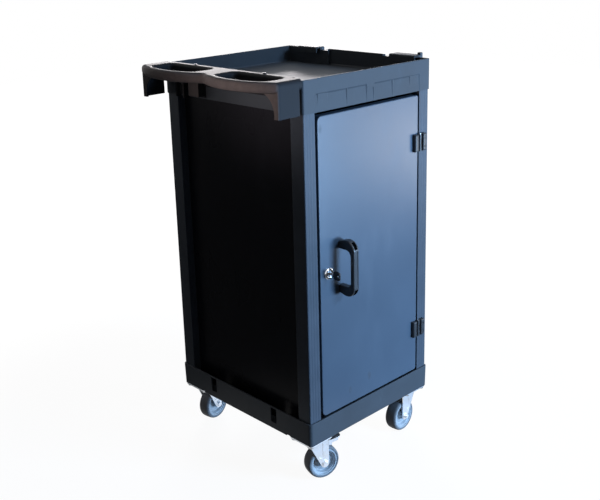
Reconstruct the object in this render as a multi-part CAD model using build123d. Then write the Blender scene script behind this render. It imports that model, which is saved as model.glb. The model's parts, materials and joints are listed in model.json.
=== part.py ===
from build123d import *
import math
import os

# Compact utility cart: a moulded base tray on four swivel casters, four corner posts with steel
# panels, a locking steel door, a moulded top tray and a push handle. Millimetres, +Z up.
# X runs along the door face and the push handle is at -X. The door is at -Y.

os.makedirs("parts", exist_ok=True)

# Top tray
TRAY_LENGTH = 408.0
TRAY_WIDTH = 457.0
TRAY_HEIGHT = 70.0
TRAY_CORNER_RADIUS = 6.0
TRAY_RIM_WALL = 4.0
TRAY_RIM_ROUND = 1.4
TRAY_HANDLE_WALL = 7.0
TRAY_SKIRT_WALL = 5.0
TRAY_WELL_DEPTH = 40.0
TRAY_WELL_RADIUS = 6.0
TRAY_WELL_ROUND = 5.0
TRAY_FLOOR = 4.0
TRAY_RIB = 3.0
TRAY_RIB_DEPTH = 9.0
TRAY_RIB_PITCH = 75.0
TRAY_RIB_MARGIN = 12.0
CORNER_PAD = 6.0
CORNER_PAD_LEAD = 30.0
RIM_NOTCH_LEAD = 29.0
RIM_NOTCH_LENGTH = 27.0
RIM_NOTCH_DEPTH = 4.0
FACE_RECESS = 1.5
FACE_RECESS_FOOT = 0.3
FACE_RECESS_HEIGHT = 39.0
FACE_RECESS_MARGIN = 37.0
FACE_SLOPE = 3.5
FACE_BLOCK_GROOVE = 7.0
FACE_BLOCK_WIDTH = 28.0
FACE_BLOCK_DEPTH = 0.8
FACE_RIDGE_WIDTH = 1.6
FACE_RIDGE_SLOPE = 2.6
FACE_RIDGE_OUTER = 73.0
FACE_RIDGE_INNER = 11.0
FACE_PAD_HEIGHT = 9.0

# Corner posts and panels
BODY_HEIGHT = 694.0
POST_LENGTH = 33.0
POST_WIDTH = 37.0
POST_CORNER_RADIUS = 3.0
POST_WALL = 3.0
POST_FIT = 0.4
POST_POCKET_WALL = 2.2
FLUTE_WIDTH = 4.0
FLUTE_DEPTH = 0.45
FLUTE_SPACING = 8.0
PANEL_THICKNESS = 1.2
PANEL_SETBACK = 20.0
PANEL_FIT = 0.2
PANEL_TOP_GAP = 0.5
GROOVE_DEPTH = 8.0

# Base tray
BASE_HEIGHT = 56.0
BASE_WALL = 3.4
BASE_DRAFT = 1.0
BASE_CORNER_RADIUS = 8.0
BASE_RIM_ROUND = 1.2
BASE_BOTTOM_ROUND = 2.0
BASE_UNDERSIDE = 12.0
BASE_FLOOR = 4.0
BASE_RIB = 4.0
BASE_RIB_SPREAD = 62.0
BASE_RELIEF = 4.0
BASE_RELIEF_START = 6.0
BASE_RELIEF_END = 80.0
WINDOW_OFFSET = 108.0
WINDOW_WIDTH = 19.0
WINDOW_SILL = 1.0
WINDOW_STRIP = 2.5

# Door
DOOR_FREE_GAP = 7.0
DOOR_HINGE_GAP = 3.5
DOOR_TOP_GAP = 9.5
DOOR_BOTTOM_GAP = 2.5
DOOR_DEPTH = 18.0
DOOR_SHEET = 1.2
DOOR_FREE_RADIUS = 13.0
DOOR_HINGE_RADIUS = 6.0
DOOR_EDGE_ROUND = 2.0

# Door hinges
HINGE_HEIGHT = 40.0
HINGE_INSET = 110.0
HINGE_AXIS_OUT = 4.2
HINGE_KNUCKLE_RADIUS = 4.0
HINGE_KNUCKLE_MIDDLE = 14.4
HINGE_PIN_RADIUS = 2.0
HINGE_PIN_HEAD = 3.2
HINGE_PIN_HEAD_HEIGHT = 1.2
HINGE_AXIAL_GAP = 0.3
HINGE_BLOCK_START = 8.0
HINGE_BLOCK_WIDTH = 12.0
HINGE_BLOCK_THICKNESS = 9.0
HINGE_BLOCK_ROUND = 3.0
HINGE_SCREW_SPACING = 20.0
HINGE_SCREW_SINK = 3.0
RUNNING_FIT = 0.05

# Pull handle on the door
PULL_INSET = 65.4
PULL_CENTRE = 342.7
PULL_LENGTH = 128.0
PULL_STANDOFF = 45.0
PULL_WIDTH = 17.0
PULL_GRIP_DEPTH = 11.0
PULL_FOOT = 17.0
PULL_FOOT_END = 59.0
PULL_FLARE = 17.0
PULL_FLARE_RADIUS = 25.0
PULL_OUTER_RADIUS = 22.0
PULL_INNER_RADIUS = 13.0
PULL_EDGE_ROUND = 3.0
PULL_POCKET_WIDTH = 9.4
PULL_CHANNEL = 0.8
PULL_POCKET_LENGTH = 15.0
PULL_POCKET_RAISE = 3.0
PULL_POCKET_FLOOR = 10.0

# Cam lock and key
LOCK_INSET = 25.4
LOCK_CENTRE = 335.5
LOCK_FLANGE_RADIUS = 13.0
LOCK_FLANGE_THICKNESS = 3.5
LOCK_FLANGE_ROUND = 1.5
LOCK_BARREL_RADIUS = 9.5
LOCK_HOLE_FIT = 0.15
LOCK_NUT_FLATS = 25.0
LOCK_NUT_THICKNESS = 5.0
PLUG_RADIUS = 6.0
PLUG_SINK = 0.8
PLUG_SQUARE = 7.0
CAM_THICKNESS = 2.0
CAM_WIDTH = 15.0
CAM_REACH = 27.0
CAM_TIP_RADIUS = 3.7
CAM_GAP = 0.6
CAM_FIT = 0.1
CAM_SCREW_WEB = 2.0
KEY_BLADE_THICKNESS = 2.0
KEY_BLADE_HEIGHT = 7.5
KEY_BLADE_DEPTH = 17.0
KEY_SHANK = 12.0
KEY_BOW_SIZE = 20.0
KEY_BOW_THICKNESS = 3.6
KEY_BOW_RADIUS = 6.0
KEY_BOW_ROUND = 1.0
KEY_BOW_HOLE = 2.6
KEY_BOW_GRIP = 9.0
KEY_FIT = 0.1
STRIKE_GAP = 2.5
STRIKE_THICKNESS = 1.5
STRIKE_HEIGHT = 40.0
STRIKE_LEG = 16.0
STRIKE_TAB = 17.0
STRIKE_SCREW_SPACING = 24.0

# Push handle
GRIP_REACH = 98.0
GRIP_VALLEY = 27.0
GRIP_END_DROP = 33.0
GRIP_CORNER_RADIUS = 10.0
GRIP_WIDTH = 19.0
GRIP_THICKNESS = 23.0
GRIP_RISE = 3.5
GRIP_ROUND = 9.0
GRIP_OPENING_ROUND = 7.0
GRIP_BACK_BAR = 8.5
GRIP_VALLEY_RADIUS = 12.0
GRIP_WEB = 70.0
GRIP_END_WIDTH = 38.5
GRIP_OPENING_RADIUS = 16.0
HANDLE_FLANGE = 5.0
HANDLE_FLANGE_HEIGHT = 40.0
HANDLE_FLANGE_INSET = 22.0
HANDLE_LIP = 3.0
HANDLE_LIP_INSET = 28.0
HANDLE_RIB = 3.0
HANDLE_RIB_REACH = 8.0
HANDLE_RIB_HEIGHT = 18.0
HANDLE_RIB_PITCH = 17.0
WING_GAP = 8.0
WING_PLATE = 4.5
WING_FLANGE = 5.0
WING_FLANGE_WIDTH = 13.5
WING_FILLET = 42.0
LIP_SCREW_OFFSET = 115.0
FLANGE_SCREW_INSET = 33.5
FLANGE_SCREW_MIDDLES = (-105.0, 45.0)
FLANGE_SCREW_DROP = 24.0

# Tool holder under the push handle
HOLDER_INSET = 50.5
HOLDER_LENGTH = 99.0
HOLDER_DROP = 25.0
HOLDER_BACK = 3.0
HOLDER_TOP = 3.0
HOLDER_BACK_HEIGHT = 42.0
HOLDER_BLOCK_WIDTH = 36.0
HOLDER_BLOCK_REACH = 22.0
HOLDER_BLOCK_HEIGHT = 38.0
HOLDER_BLOCK_WALL = 3.0
HOLDER_FIN = 5.0
HOLDER_ROUND = 1.2
HOLDER_FIN_HEIGHT = 47.0
HOLDER_MIDDLE_FIN = 60.5
HOLDER_MIDDLE_REACH = 16.0
HOLDER_FAR_REACH = 11.0
HOLDER_CLEARANCE = 2.0
HOLDER_SCREW_HEIGHT = 16.0

# Cord hooks on the far end
HOOK_INSETS = {-1: 28.5, 1: 47.5}
HOOK_LENGTHS = {-1: 76.0, 1: 66.0}
HOOK_PLATE = 3.0
HOOK_PLATE_HEIGHT = 40.0
HOOK_BAR = 8.0
HOOK_ROUND = 2.0
HOOK_ROLL_LIP = 12.0
HOOK_ROLL_SKIRT = 3.0
HOOK_ROLL_DROP = 11.0
HOOK_ROLL_ROUND = 3.3
HOOK_FRONT_RISE = 5.5
HOOK_BACK_RISE = 3.5
HOOK_POST_WIDTH = 9.0
HOOK_POST_RISE = 10.5
HOOK_ARM_WIDTH = 10.0
HOOK_ARM_DROP = 25.0
HOOK_ARM_HEIGHT = 6.0
HOOK_REACH = 24.0
HOOK_TIP = 5.0
HOOK_TIP_DROP = 7.0
HOOK_SCREW_SPACING = 40.0
HOOK_SCREW_DROP = 32.0

# Swivel casters
CASTER_HEIGHT = 108.0
CASTER_INSET = 37.2
CASTER_TRAIL = 25.0
CASTER_YAWS = {
    "front_left": -16.9,
    "front_right": 183.7,
    "back_left": 9.9,
    "back_right": 166.0,
}
PLATE_SIZE = 70.0
PLATE_THICKNESS = 3.0
PLATE_RADIUS = 6.0
PLATE_HOLE_SPACING = 54.0
PAD_MARGIN = 1.5
RACE_RADIUS = 22.0
RACE_HEIGHT = 4.9
RACE_GAP = 1.6
BALL_RADIUS = 3.0
BALL_CIRCLE = 15.0
BALL_COUNT = 10
BALL_FIT = 0.15
KINGPIN_RADIUS = 5.0
KINGPIN_HEAD_RADIUS = 9.0
KINGPIN_HEAD_HEIGHT = 3.2
KINGPIN_GAP = 0.3
FORK_SHEET = 2.5
FORK_CROWN = 3.0
FORK_CROWN_RADIUS = 23.0
FORK_LEAD = 14.0
FORK_BOSS = 10.0
FORK_SIDE_GAP = 0.5
FORK_CHANNEL = (9.0, 20.0)
FORK_CHANNEL_END = 17.0
FORK_CHANNEL_DEPTH = 0.8
FORK_CHANNEL_RADIUS = 4.0
WHEEL_RADIUS = 40.0
WHEEL_WIDTH = 30.0
WHEEL_SHOULDER = 4.5
TYRE_THICKNESS = 7.0
RIM_THICKNESS = 5.0
RIM_INSET = 1.0
WEB_THICKNESS = 8.0
HUB_RADIUS = 11.0
HUB_WIDTH = 32.0
SLEEVE_RADIUS = 6.0
AXLE_RADIUS = 4.0
AXLE_HEAD_FLATS = 11.0
AXLE_HEAD_HEIGHT = 3.5
AXLE_WASHER_RADIUS = 8.6
AXLE_WASHER = 1.2
AXLE_END = 1.5

# Brake pedals on the two casters at the handle end
BRAKED_CASTERS = ("front_left", "back_left")
PEDAL_PIVOT_X = 29.0
PEDAL_PIVOT_Z = 87.0
PEDAL_SWING = 13.0
PEDAL_WIDTH = 29.0
PEDAL_SHEET = 2.5
PEDAL_BOSS = 4.5
PEDAL_PIN = 2.5
PEDAL_TIP_X = 71.0
PEDAL_TIP_RISE = 5.0
PEDAL_SIDE = 8.0
PEDAL_TIP_RADIUS = 9.0
SHOE_START = 9.0
SHOE_LENGTH = 8.0
SHOE_GAP = 0.5

# Fasteners: shank radius, head radius, head height
SMALL_SCREW = (1.6, 3.2, 1.8)
PANEL_SCREW = (2.2, 4.0, 2.4)
LIP_SCREW = (1.8, 3.5, 2.2)
PULL_SCREW = (2.5, 4.3, 3.0)
CAM_SCREW = (1.6, 5.2, 2.0)
CASTER_BOLT = (3.5, 6.5, 4.0)
SCREW_FIT = 0.1
SOCKET_SHARE = 0.5
NUT_FLATS = 8.0
NUT_THICKNESS = 4.0
PULL_SCREW_TAIL = 6.5
CASTER_BOLT_LENGTH = 14.0
SCREW_BITE = 9.0
SMALL_SCREW_BITE = 12.0
HINGE_DOOR_BITE = 6.0

# Heights
base_z0 = CASTER_HEIGHT
base_z1 = base_z0 + BASE_HEIGHT
base_under = base_z0 + BASE_UNDERSIDE
base_floor_top = base_under + BASE_FLOOR
tray_z0 = base_z1 + BODY_HEIGHT
tray_z1 = tray_z0 + TRAY_HEIGHT
well_floor = tray_z1 - TRAY_WELL_DEPTH
tray_under = well_floor - TRAY_FLOOR

# Plan positions
tray_x = TRAY_LENGTH / 2
tray_y = TRAY_WIDTH / 2
post_out_x = tray_x - POST_POCKET_WALL - POST_FIT
post_out_y = tray_y - POST_POCKET_WALL - POST_FIT
post_in_x = post_out_x - POST_LENGTH
post_in_y = post_out_y - POST_WIDTH
pad_x = tray_x - TRAY_RIM_WALL - CORNER_PAD
grip_end_x = -tray_x - GRIP_REACH + GRIP_END_DROP
grip_top = tray_z1 + GRIP_RISE
holder_far = tray_y - HOLDER_INSET
holder_near = holder_far - HOLDER_LENGTH
middle_fin = holder_near + HOLDER_MIDDLE_FIN
hook_ends = {side: tray_y - inset for side, inset in HOOK_INSETS.items()}
hook_starts = {side: end - HOOK_LENGTHS[side] for side, end in hook_ends.items()}
flute_radius = (FLUTE_WIDTH ** 2 / 4 + FLUTE_DEPTH ** 2) / (2 * FLUTE_DEPTH)
base_top_x = post_out_x + POST_FIT + BASE_WALL
base_top_y = post_out_y + POST_FIT + BASE_WALL
base_bottom_x = base_top_x - BASE_DRAFT
base_bottom_y = base_top_y - BASE_DRAFT
caster_x = base_bottom_x - CASTER_INSET
caster_y = base_bottom_y - CASTER_INSET

# Door, hinge and lock positions
door_face = -post_out_y
door_back = door_face + DOOR_DEPTH
door_x0 = -post_in_x + DOOR_FREE_GAP
door_x1 = post_in_x - DOOR_HINGE_GAP
door_z0 = base_z1 + DOOR_BOTTOM_GAP
door_z1 = tray_z0 - DOOR_TOP_GAP
hinge_x = door_x1 + DOOR_HINGE_GAP / 2
hinge_y = door_face - HINGE_AXIS_OUT
hinge_heights = {"upper": door_z1 - HINGE_INSET, "lower": door_z0 + HINGE_INSET}
hinge_screw_x = HINGE_BLOCK_START + HINGE_BLOCK_WIDTH / 2
lock_x = door_x0 + LOCK_INSET
lock_z = door_z0 + LOCK_CENTRE
strike_front = door_back + STRIKE_GAP
cam_front = strike_front + STRIKE_THICKNESS + CAM_GAP
cam_back = cam_front + CAM_THICKNESS
pull_x = door_x0 + PULL_INSET
pull_z = door_z0 + PULL_CENTRE
pull_screw_z = PULL_FOOT_END - PULL_FOOT / 2
key_front = door_face - LOCK_FLANGE_THICKNESS + PLUG_SINK
key_end = key_front + KEY_BLADE_DEPTH

# Caster heights
plate_under = CASTER_HEIGHT - PLATE_THICKNESS
race_under = plate_under - RACE_HEIGHT
crown_top = race_under - RACE_GAP
crown_under = crown_top - FORK_CROWN
ball_z = race_under - RACE_GAP / 2
fork_inner = HUB_WIDTH / 2 + FORK_SIDE_GAP
fork_outer = fork_inner + FORK_SHEET
fork_trail = CASTER_TRAIL + FORK_BOSS

BOTTOM = (Align.CENTER, Align.CENTER, Align.MIN)
CORNERS = {
    "front_left": (-1, -1),
    "front_right": (1, -1),
    "back_left": (-1, 1),
    "back_right": (1, 1),
}


def box(x0, x1, y0, y1, z0, z1):
    """Box between two X, two Y and two Z planes, given in either order."""
    centre = Pos((x0 + x1) / 2, (y0 + y1) / 2, (z0 + z1) / 2)
    return centre * Box(abs(x1 - x0), abs(y1 - y0), abs(z1 - z0))


def slab(half_x, half_y, radius, z0, z1):
    """Upright slab with a rounded outline about the Z axis."""
    outline = Plane.XY.offset(z0) * RectangleRounded(2 * half_x, 2 * half_y, radius)
    return extrude(outline, z1 - z0)


def rod(start, direction, radius, length):
    """Cylinder that starts at a point and runs along a direction."""
    return Plane(origin=start, z_dir=direction) * Cylinder(radius, length, align=BOTTOM)


def hexagon(start, direction, flats, length):
    """Hexagonal bar that starts at a point and runs along a direction."""
    outline = Plane(origin=start, z_dir=direction) * RegularPolygon(flats / 2, 6, major_radius=False)
    return extrude(outline, length)


def screw(seat, into, size, bite):
    """Socket head screw: its head stands on the seat and its shank runs into the material."""
    shank_radius, head_radius, head_height = size
    top = Vector(*seat) - Vector(*into) * head_height
    body = rod(top, into, head_radius, head_height) + rod(seat, into, shank_radius, bite)
    return body - hexagon(top, into, head_radius, head_height * SOCKET_SHARE)


def screw_hole(seat, into, size, bite):
    """Clearance hole for a screw's shank, with a little room past its tip."""
    return rod(seat, into, size[0] + SCREW_FIT, bite + SCREW_FIT)


def washer(start, direction, outer, inner, length):
    """Ring that starts at a point and runs along a direction."""
    return rod(start, direction, outer, length) - rod(start, direction, inner, length)


def nut(start, direction, flats, inner, length):
    """Hexagonal nut with a plain bore."""
    return hexagon(start, direction, flats, length) - rod(start, direction, inner, length)


def group(pieces):
    """One node made of separate solids."""
    return Compound([solid for piece in pieces for solid in piece.solids()])


def corner_box(sx, sy, p0, p1, q0, q1, z0, z1):
    """Box in a corner post, measured inwards from its outer X face (p) and outer Y face (q)."""
    x0, x1 = (sx * (post_out_x - p) for p in (p0, p1))
    y0, y1 = (sy * (post_out_y - q) for q in (q0, q1))
    return box(x0, x1, y0, y1, z0, z1)


# Fastener places
lip_screw_x = -(tray_x - TRAY_HANDLE_WALL / 2)
lip_screw_seats = [(lip_screw_x, side * LIP_SCREW_OFFSET, grip_top) for side in (-1, 1)]
flange_screw_end = tray_y - FLANGE_SCREW_INSET
flange_screw_ys = (-flange_screw_end, *FLANGE_SCREW_MIDDLES, flange_screw_end)
flange_screw_seats = [
    (-(tray_x + HANDLE_FLANGE), y, tray_z1 - FLANGE_SCREW_DROP) for y in flange_screw_ys
]
holder_top = tray_z1 - HOLDER_DROP
holder_slots = (
    (holder_near + HOLDER_BLOCK_WIDTH, middle_fin),
    (middle_fin + HOLDER_FIN, holder_far - HOLDER_FIN),
)
holder_screw_seats = [
    (-(tray_x + HOLDER_BACK), sum(slot) / 2, holder_top - HOLDER_SCREW_HEIGHT) for slot in holder_slots
]
hook_screw_seats = {
    side: [
        (
            tray_x + HOOK_PLATE,
            side * (hook_starts[side] + hook_ends[side] + step * HOOK_SCREW_SPACING) / 2,
            tray_z1 - HOOK_SCREW_DROP,
        )
        for step in (-1, 1)
    ]
    for side in (-1, 1)
}
holder_bite = HOLDER_BACK + TRAY_RIM_WALL
hook_bite = HOOK_PLATE + TRAY_RIM_WALL
lip_screws_in = [(seat, (0, 0, -1), LIP_SCREW, SMALL_SCREW_BITE) for seat in lip_screw_seats]
flange_screws_in = [(seat, (1, 0, 0), SMALL_SCREW, SCREW_BITE) for seat in flange_screw_seats]
holder_screws_in = [(seat, (1, 0, 0), SMALL_SCREW, holder_bite) for seat in holder_screw_seats]
hook_screws_in = {
    side: [(seat, (-1, 0, 0), SMALL_SCREW, hook_bite) for seat in seats]
    for side, seats in hook_screw_seats.items()
}
tray_screws_in = lip_screws_in + flange_screws_in + holder_screws_in + hook_screws_in[-1] + hook_screws_in[1]

strike_screw_seats = [
    (
        -post_in_x + STRIKE_THICKNESS,
        strike_front + STRIKE_LEG / 2 + STRIKE_THICKNESS,
        lock_z + side * STRIKE_SCREW_SPACING / 2,
    )
    for side in (-1, 1)
]
strike_screws_in = [(seat, (-1, 0, 0), PANEL_SCREW, SCREW_BITE) for seat in strike_screw_seats]

hinge_rows = [z + side * HINGE_SCREW_SPACING / 2 for z in hinge_heights.values() for side in (-1, 1)]
hinge_sink_y = door_face - HINGE_BLOCK_THICKNESS + HINGE_SCREW_SINK
post_hinge_screws_in = [
    ((hinge_x + hinge_screw_x, hinge_sink_y, z), (0, 1, 0), PANEL_SCREW,
     HINGE_BLOCK_THICKNESS - HINGE_SCREW_SINK + POST_WALL + SCREW_BITE)
    for z in hinge_rows
]
door_hinge_screws_in = [
    ((hinge_x - hinge_screw_x, door_face + DOOR_SHEET, z), (0, -1, 0), PANEL_SCREW,
     DOOR_SHEET + HINGE_DOOR_BITE)
    for z in hinge_rows
]
pull_screws_in = [
    ((pull_x, door_face - PULL_POCKET_FLOOR, pull_z + side * pull_screw_z), (0, 1, 0), PULL_SCREW,
     PULL_POCKET_FLOOR + DOOR_SHEET + PULL_SCREW_TAIL)
    for side in (-1, 1)
]
cam_screw_in = ((lock_x, cam_back, lock_z), (0, -1, 0), CAM_SCREW, cam_back - key_end - CAM_SCREW_WEB)
plate_corners = [
    (sx * PLATE_HOLE_SPACING / 2, sy * PLATE_HOLE_SPACING / 2) for sx in (-1, 1) for sy in (-1, 1)
]
caster_bolts_in = [
    ((sx * caster_x + dx, sy * caster_y + dy, plate_under), (0, 0, 1), CASTER_BOLT, CASTER_BOLT_LENGTH)
    for sx, sy in CORNERS.values()
    for dx, dy in plate_corners
]


def drilled(piece, screws):
    """Piece with a clearance hole for every screw in a list."""
    for seat, into, size, bite in screws:
        piece -= screw_hole(seat, into, size, bite)
    return piece


def base_tray():
    """Tub that the posts stand in, with drafted walls and pads for the casters under its floor."""
    outlines = []
    for z, half_x, half_y in ((base_z0, base_bottom_x, base_bottom_y), (base_z1, base_top_x, base_top_y)):
        outlines.append(Plane.XY.offset(z) * RectangleRounded(2 * half_x, 2 * half_y, BASE_CORNER_RADIUS))
    shell = loft(outlines, ruled=True)
    shell = fillet(shell.edges().group_by(Axis.Z)[-1], BASE_RIM_ROUND)
    shell = fillet(shell.edges().group_by(Axis.Z)[0], BASE_BOTTOM_ROUND)
    well_radius = POST_CORNER_RADIUS + POST_FIT
    well = slab(post_out_x + POST_FIT, post_out_y + POST_FIT, well_radius, base_floor_top, base_z1)
    under_x = base_bottom_x - BASE_WALL
    under_y = base_bottom_y - BASE_WALL
    underside = slab(under_x, under_y, BASE_CORNER_RADIUS - BASE_WALL, base_z0, base_under)
    tub = shell - well - underside
    rib_z0 = base_z0 + BASE_RELIEF
    for side in (-1, 1):
        rib_start = side * BASE_RIB_SPREAD - BASE_RIB / 2
        rib_end = rib_start + BASE_RIB
        tub += box(rib_start, rib_end, -under_y, under_y, rib_z0, base_under)
        tub += box(-under_x, under_x, rib_start, rib_end, rib_z0, base_under)
    pad_half = PLATE_SIZE / 2 + PAD_MARGIN
    pad = slab(pad_half, pad_half, PLATE_RADIUS, base_z0, base_under)
    near = base_bottom_y - BASE_RELIEF_END
    far = base_bottom_y - BASE_RELIEF_START
    outside_x = base_top_x + BASE_WALL
    for sx, sy in CORNERS.values():
        tub += (Pos(sx * caster_x, sy * caster_y, 0) * pad) & shell
        tub -= box(sx * under_x, sx * outside_x, sy * near, sy * far, base_z0, rib_z0)
    window_z0 = base_floor_top + WINDOW_SILL
    window_z1 = base_z1 - WINDOW_STRIP
    for side in (-1, 1):
        window_start = side * WINDOW_OFFSET - WINDOW_WIDTH / 2
        window_end = window_start + WINDOW_WIDTH
        tub -= box(-outside_x, -post_out_x, window_start, window_end, window_z0, window_z1)
    return drilled(tub, caster_bolts_in)


def face_recess(side):
    """Sunk panel on a long face of the top tray, which runs out towards the face's lower edge.

    Its top and ends slope in. A shallow block stands at each end, and upright ridges between them.
    """
    outer = side * tray_y
    inner = side * (tray_y - FACE_RECESS)
    half = tray_x - FACE_RECESS_MARGIN
    top = tray_z0 + FACE_RECESS_HEIGHT
    foot = side * (tray_y - FACE_RECESS_FOOT)
    section = Polyline((outer, tray_z0), (foot, tray_z0), (inner, top - FACE_SLOPE), (outer, top), close=True)
    sunk = extrude(Plane.YZ * make_face(section), half, both=True)

    def upright(x, outer_half, inner_half):
        """Bar up the face, narrow at its outer side and wide at the bottom of the recess."""
        outer_side = [(x + sign * outer_half, outer) for sign in (-1, 1)]
        inner_side = [(x + sign * inner_half, inner) for sign in (1, -1)]
        outline = Polyline(*outer_side, *inner_side, close=True)
        return extrude(Plane.XY.offset(tray_z0) * make_face(outline), FACE_RECESS_HEIGHT)

    sunk &= upright(0, half, half - FACE_SLOPE)
    ridge = FACE_RIDGE_WIDTH / 2
    for x in (-FACE_RIDGE_OUTER, -FACE_RIDGE_INNER, FACE_RIDGE_INNER, FACE_RIDGE_OUTER):
        sunk -= upright(x, ridge, ridge + FACE_RIDGE_SLOPE)
    block = (half - FACE_BLOCK_GROOVE, half - FACE_BLOCK_GROOVE - FACE_BLOCK_WIDTH)
    block_face = side * (tray_y - FACE_BLOCK_DEPTH)
    for end in (-1, 1):
        sunk -= box(end * block[0], end * block[1], inner, block_face, tray_z0, top)
    return sunk - box(-FACE_RIDGE_INNER, FACE_RIDGE_INNER, inner, outer, top - FACE_PAD_HEIGHT, top)


def top_tray():
    """Open tray with a deep skirt, whose floor rests on the four posts."""
    tray = slab(tray_x, tray_y, TRAY_CORNER_RADIUS, tray_z0, tray_z1)
    tray = fillet(tray.edges().group_by(Axis.Z)[-1], TRAY_RIM_ROUND)
    well_x0 = -tray_x + TRAY_HANDLE_WALL
    well_x1 = tray_x - TRAY_RIM_WALL
    well_y = tray_y - TRAY_RIM_WALL
    well = slab((well_x1 - well_x0) / 2, well_y, TRAY_WELL_RADIUS, well_floor, tray_z1)
    well = fillet(well.edges().group_by(Axis.Z)[0], TRAY_WELL_ROUND)
    tray -= Pos((well_x0 + well_x1) / 2, 0, 0) * well
    rim = [e for e in tray.edges().group_by(Axis.Z)[-1] if abs(e.center().Y) < well_y + SCREW_FIT]
    rim = [e for e in rim if well_x0 - SCREW_FIT < e.center().X < well_x1 + SCREW_FIT]
    tray = fillet(rim, TRAY_RIM_ROUND)
    tray -= slab(tray_x - TRAY_SKIRT_WALL, tray_y - TRAY_SKIRT_WALL, POST_CORNER_RADIUS, tray_z0, tray_under)
    pocket_p = (-POST_FIT, POST_LENGTH + POST_FIT)
    pocket_q = (-POST_FIT, POST_WIDTH + POST_FIT)
    for sx, sy in CORNERS.values():
        tray -= corner_box(sx, sy, *pocket_p, *pocket_q, tray_z0, tray_under)
    rib_span_x = post_in_x - TRAY_RIB_MARGIN
    rib_span_y = post_in_y - TRAY_RIB_MARGIN
    rib_bottom = tray_under - TRAY_RIB_DEPTH
    for step in (-1, 0, 1):
        rib_start = step * TRAY_RIB_PITCH - TRAY_RIB / 2
        rib_end = rib_start + TRAY_RIB
        tray += box(rib_start, rib_end, -rib_span_y, rib_span_y, rib_bottom, tray_under)
        tray += box(-rib_span_x, rib_span_x, rib_start, rib_end, rib_bottom, tray_under)
    pad_end = well_y + TRAY_RIM_ROUND
    notch_z = tray_z1 - RIM_NOTCH_DEPTH
    for side, hook_start in hook_starts.items():
        tray -= face_recess(side)
        notch_start = hook_start - RIM_NOTCH_LEAD
        pad_y = (side * (hook_start - CORNER_PAD_LEAD), side * pad_end)
        notch_y = (side * notch_start, side * (notch_start + RIM_NOTCH_LENGTH))
        tray += box(pad_x, well_x1 + TRAY_RIM_ROUND, *pad_y, well_floor, tray_z1)
        tray -= box(pad_x, tray_x, *notch_y, notch_z, tray_z1)
    lip_half = tray_y - HANDLE_LIP_INSET
    tray -= box(-tray_x, -tray_x + TRAY_HANDLE_WALL, -lip_half, lip_half, tray_z1 - HANDLE_LIP, tray_z1)
    return drilled(tray, tray_screws_in)


def grip_outline(side):
    """Curved front edge of one grip lobe, from the valley in the middle to the grip's end."""
    peak = -tray_x - GRIP_REACH
    end = side * tray_y
    return ThreePointArc((peak + GRIP_VALLEY, 0), (peak, end / 2), (peak + GRIP_END_DROP, end))


def grip_plan():
    """Whole grip seen from above: two lobes, a valley between them and rounded outer corners."""
    rear = -tray_x
    edges = [grip_outline(side) for side in (-1, 1)]
    edges += [Line((grip_end_x, side * tray_y), (rear, side * tray_y)) for side in (-1, 1)]
    edges += [Line((rear, -tray_y), (rear, tray_y))]
    plan = make_face(edges)
    plan = fillet([v for v in plan.vertices() if abs(v.Y) < GRIP_WEB / 2], GRIP_VALLEY_RADIUS)
    ends = [v for v in plan.vertices() if abs(v.Y) > tray_y - GRIP_END_WIDTH]
    return fillet([v for v in ends if v.X < rear - GRIP_BACK_BAR], GRIP_CORNER_RADIUS)


def finger_opening(side):
    """Opening behind one lobe, which leaves a bar of even width along the lobe's curve."""
    bar_x = -tray_x - GRIP_BACK_BAR
    peak = -tray_x - GRIP_REACH + GRIP_WIDTH
    web = GRIP_WEB / 2
    far = tray_y - GRIP_END_WIDTH
    middle = (web + far) / 2
    bow_end = peak + GRIP_END_DROP * ((far - web) / tray_y) ** 2
    bow = ThreePointArc((bow_end, side * web), (peak, side * middle), (bow_end, side * far))
    rest = [(bow_end, side * far), (bar_x, side * far), (bar_x, side * web), (bow_end, side * web)]
    opening = make_face([bow] + [Line(a, b) for a, b in zip(rest, rest[1:])])
    return fillet(opening.vertices(), GRIP_OPENING_RADIUS)


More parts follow.
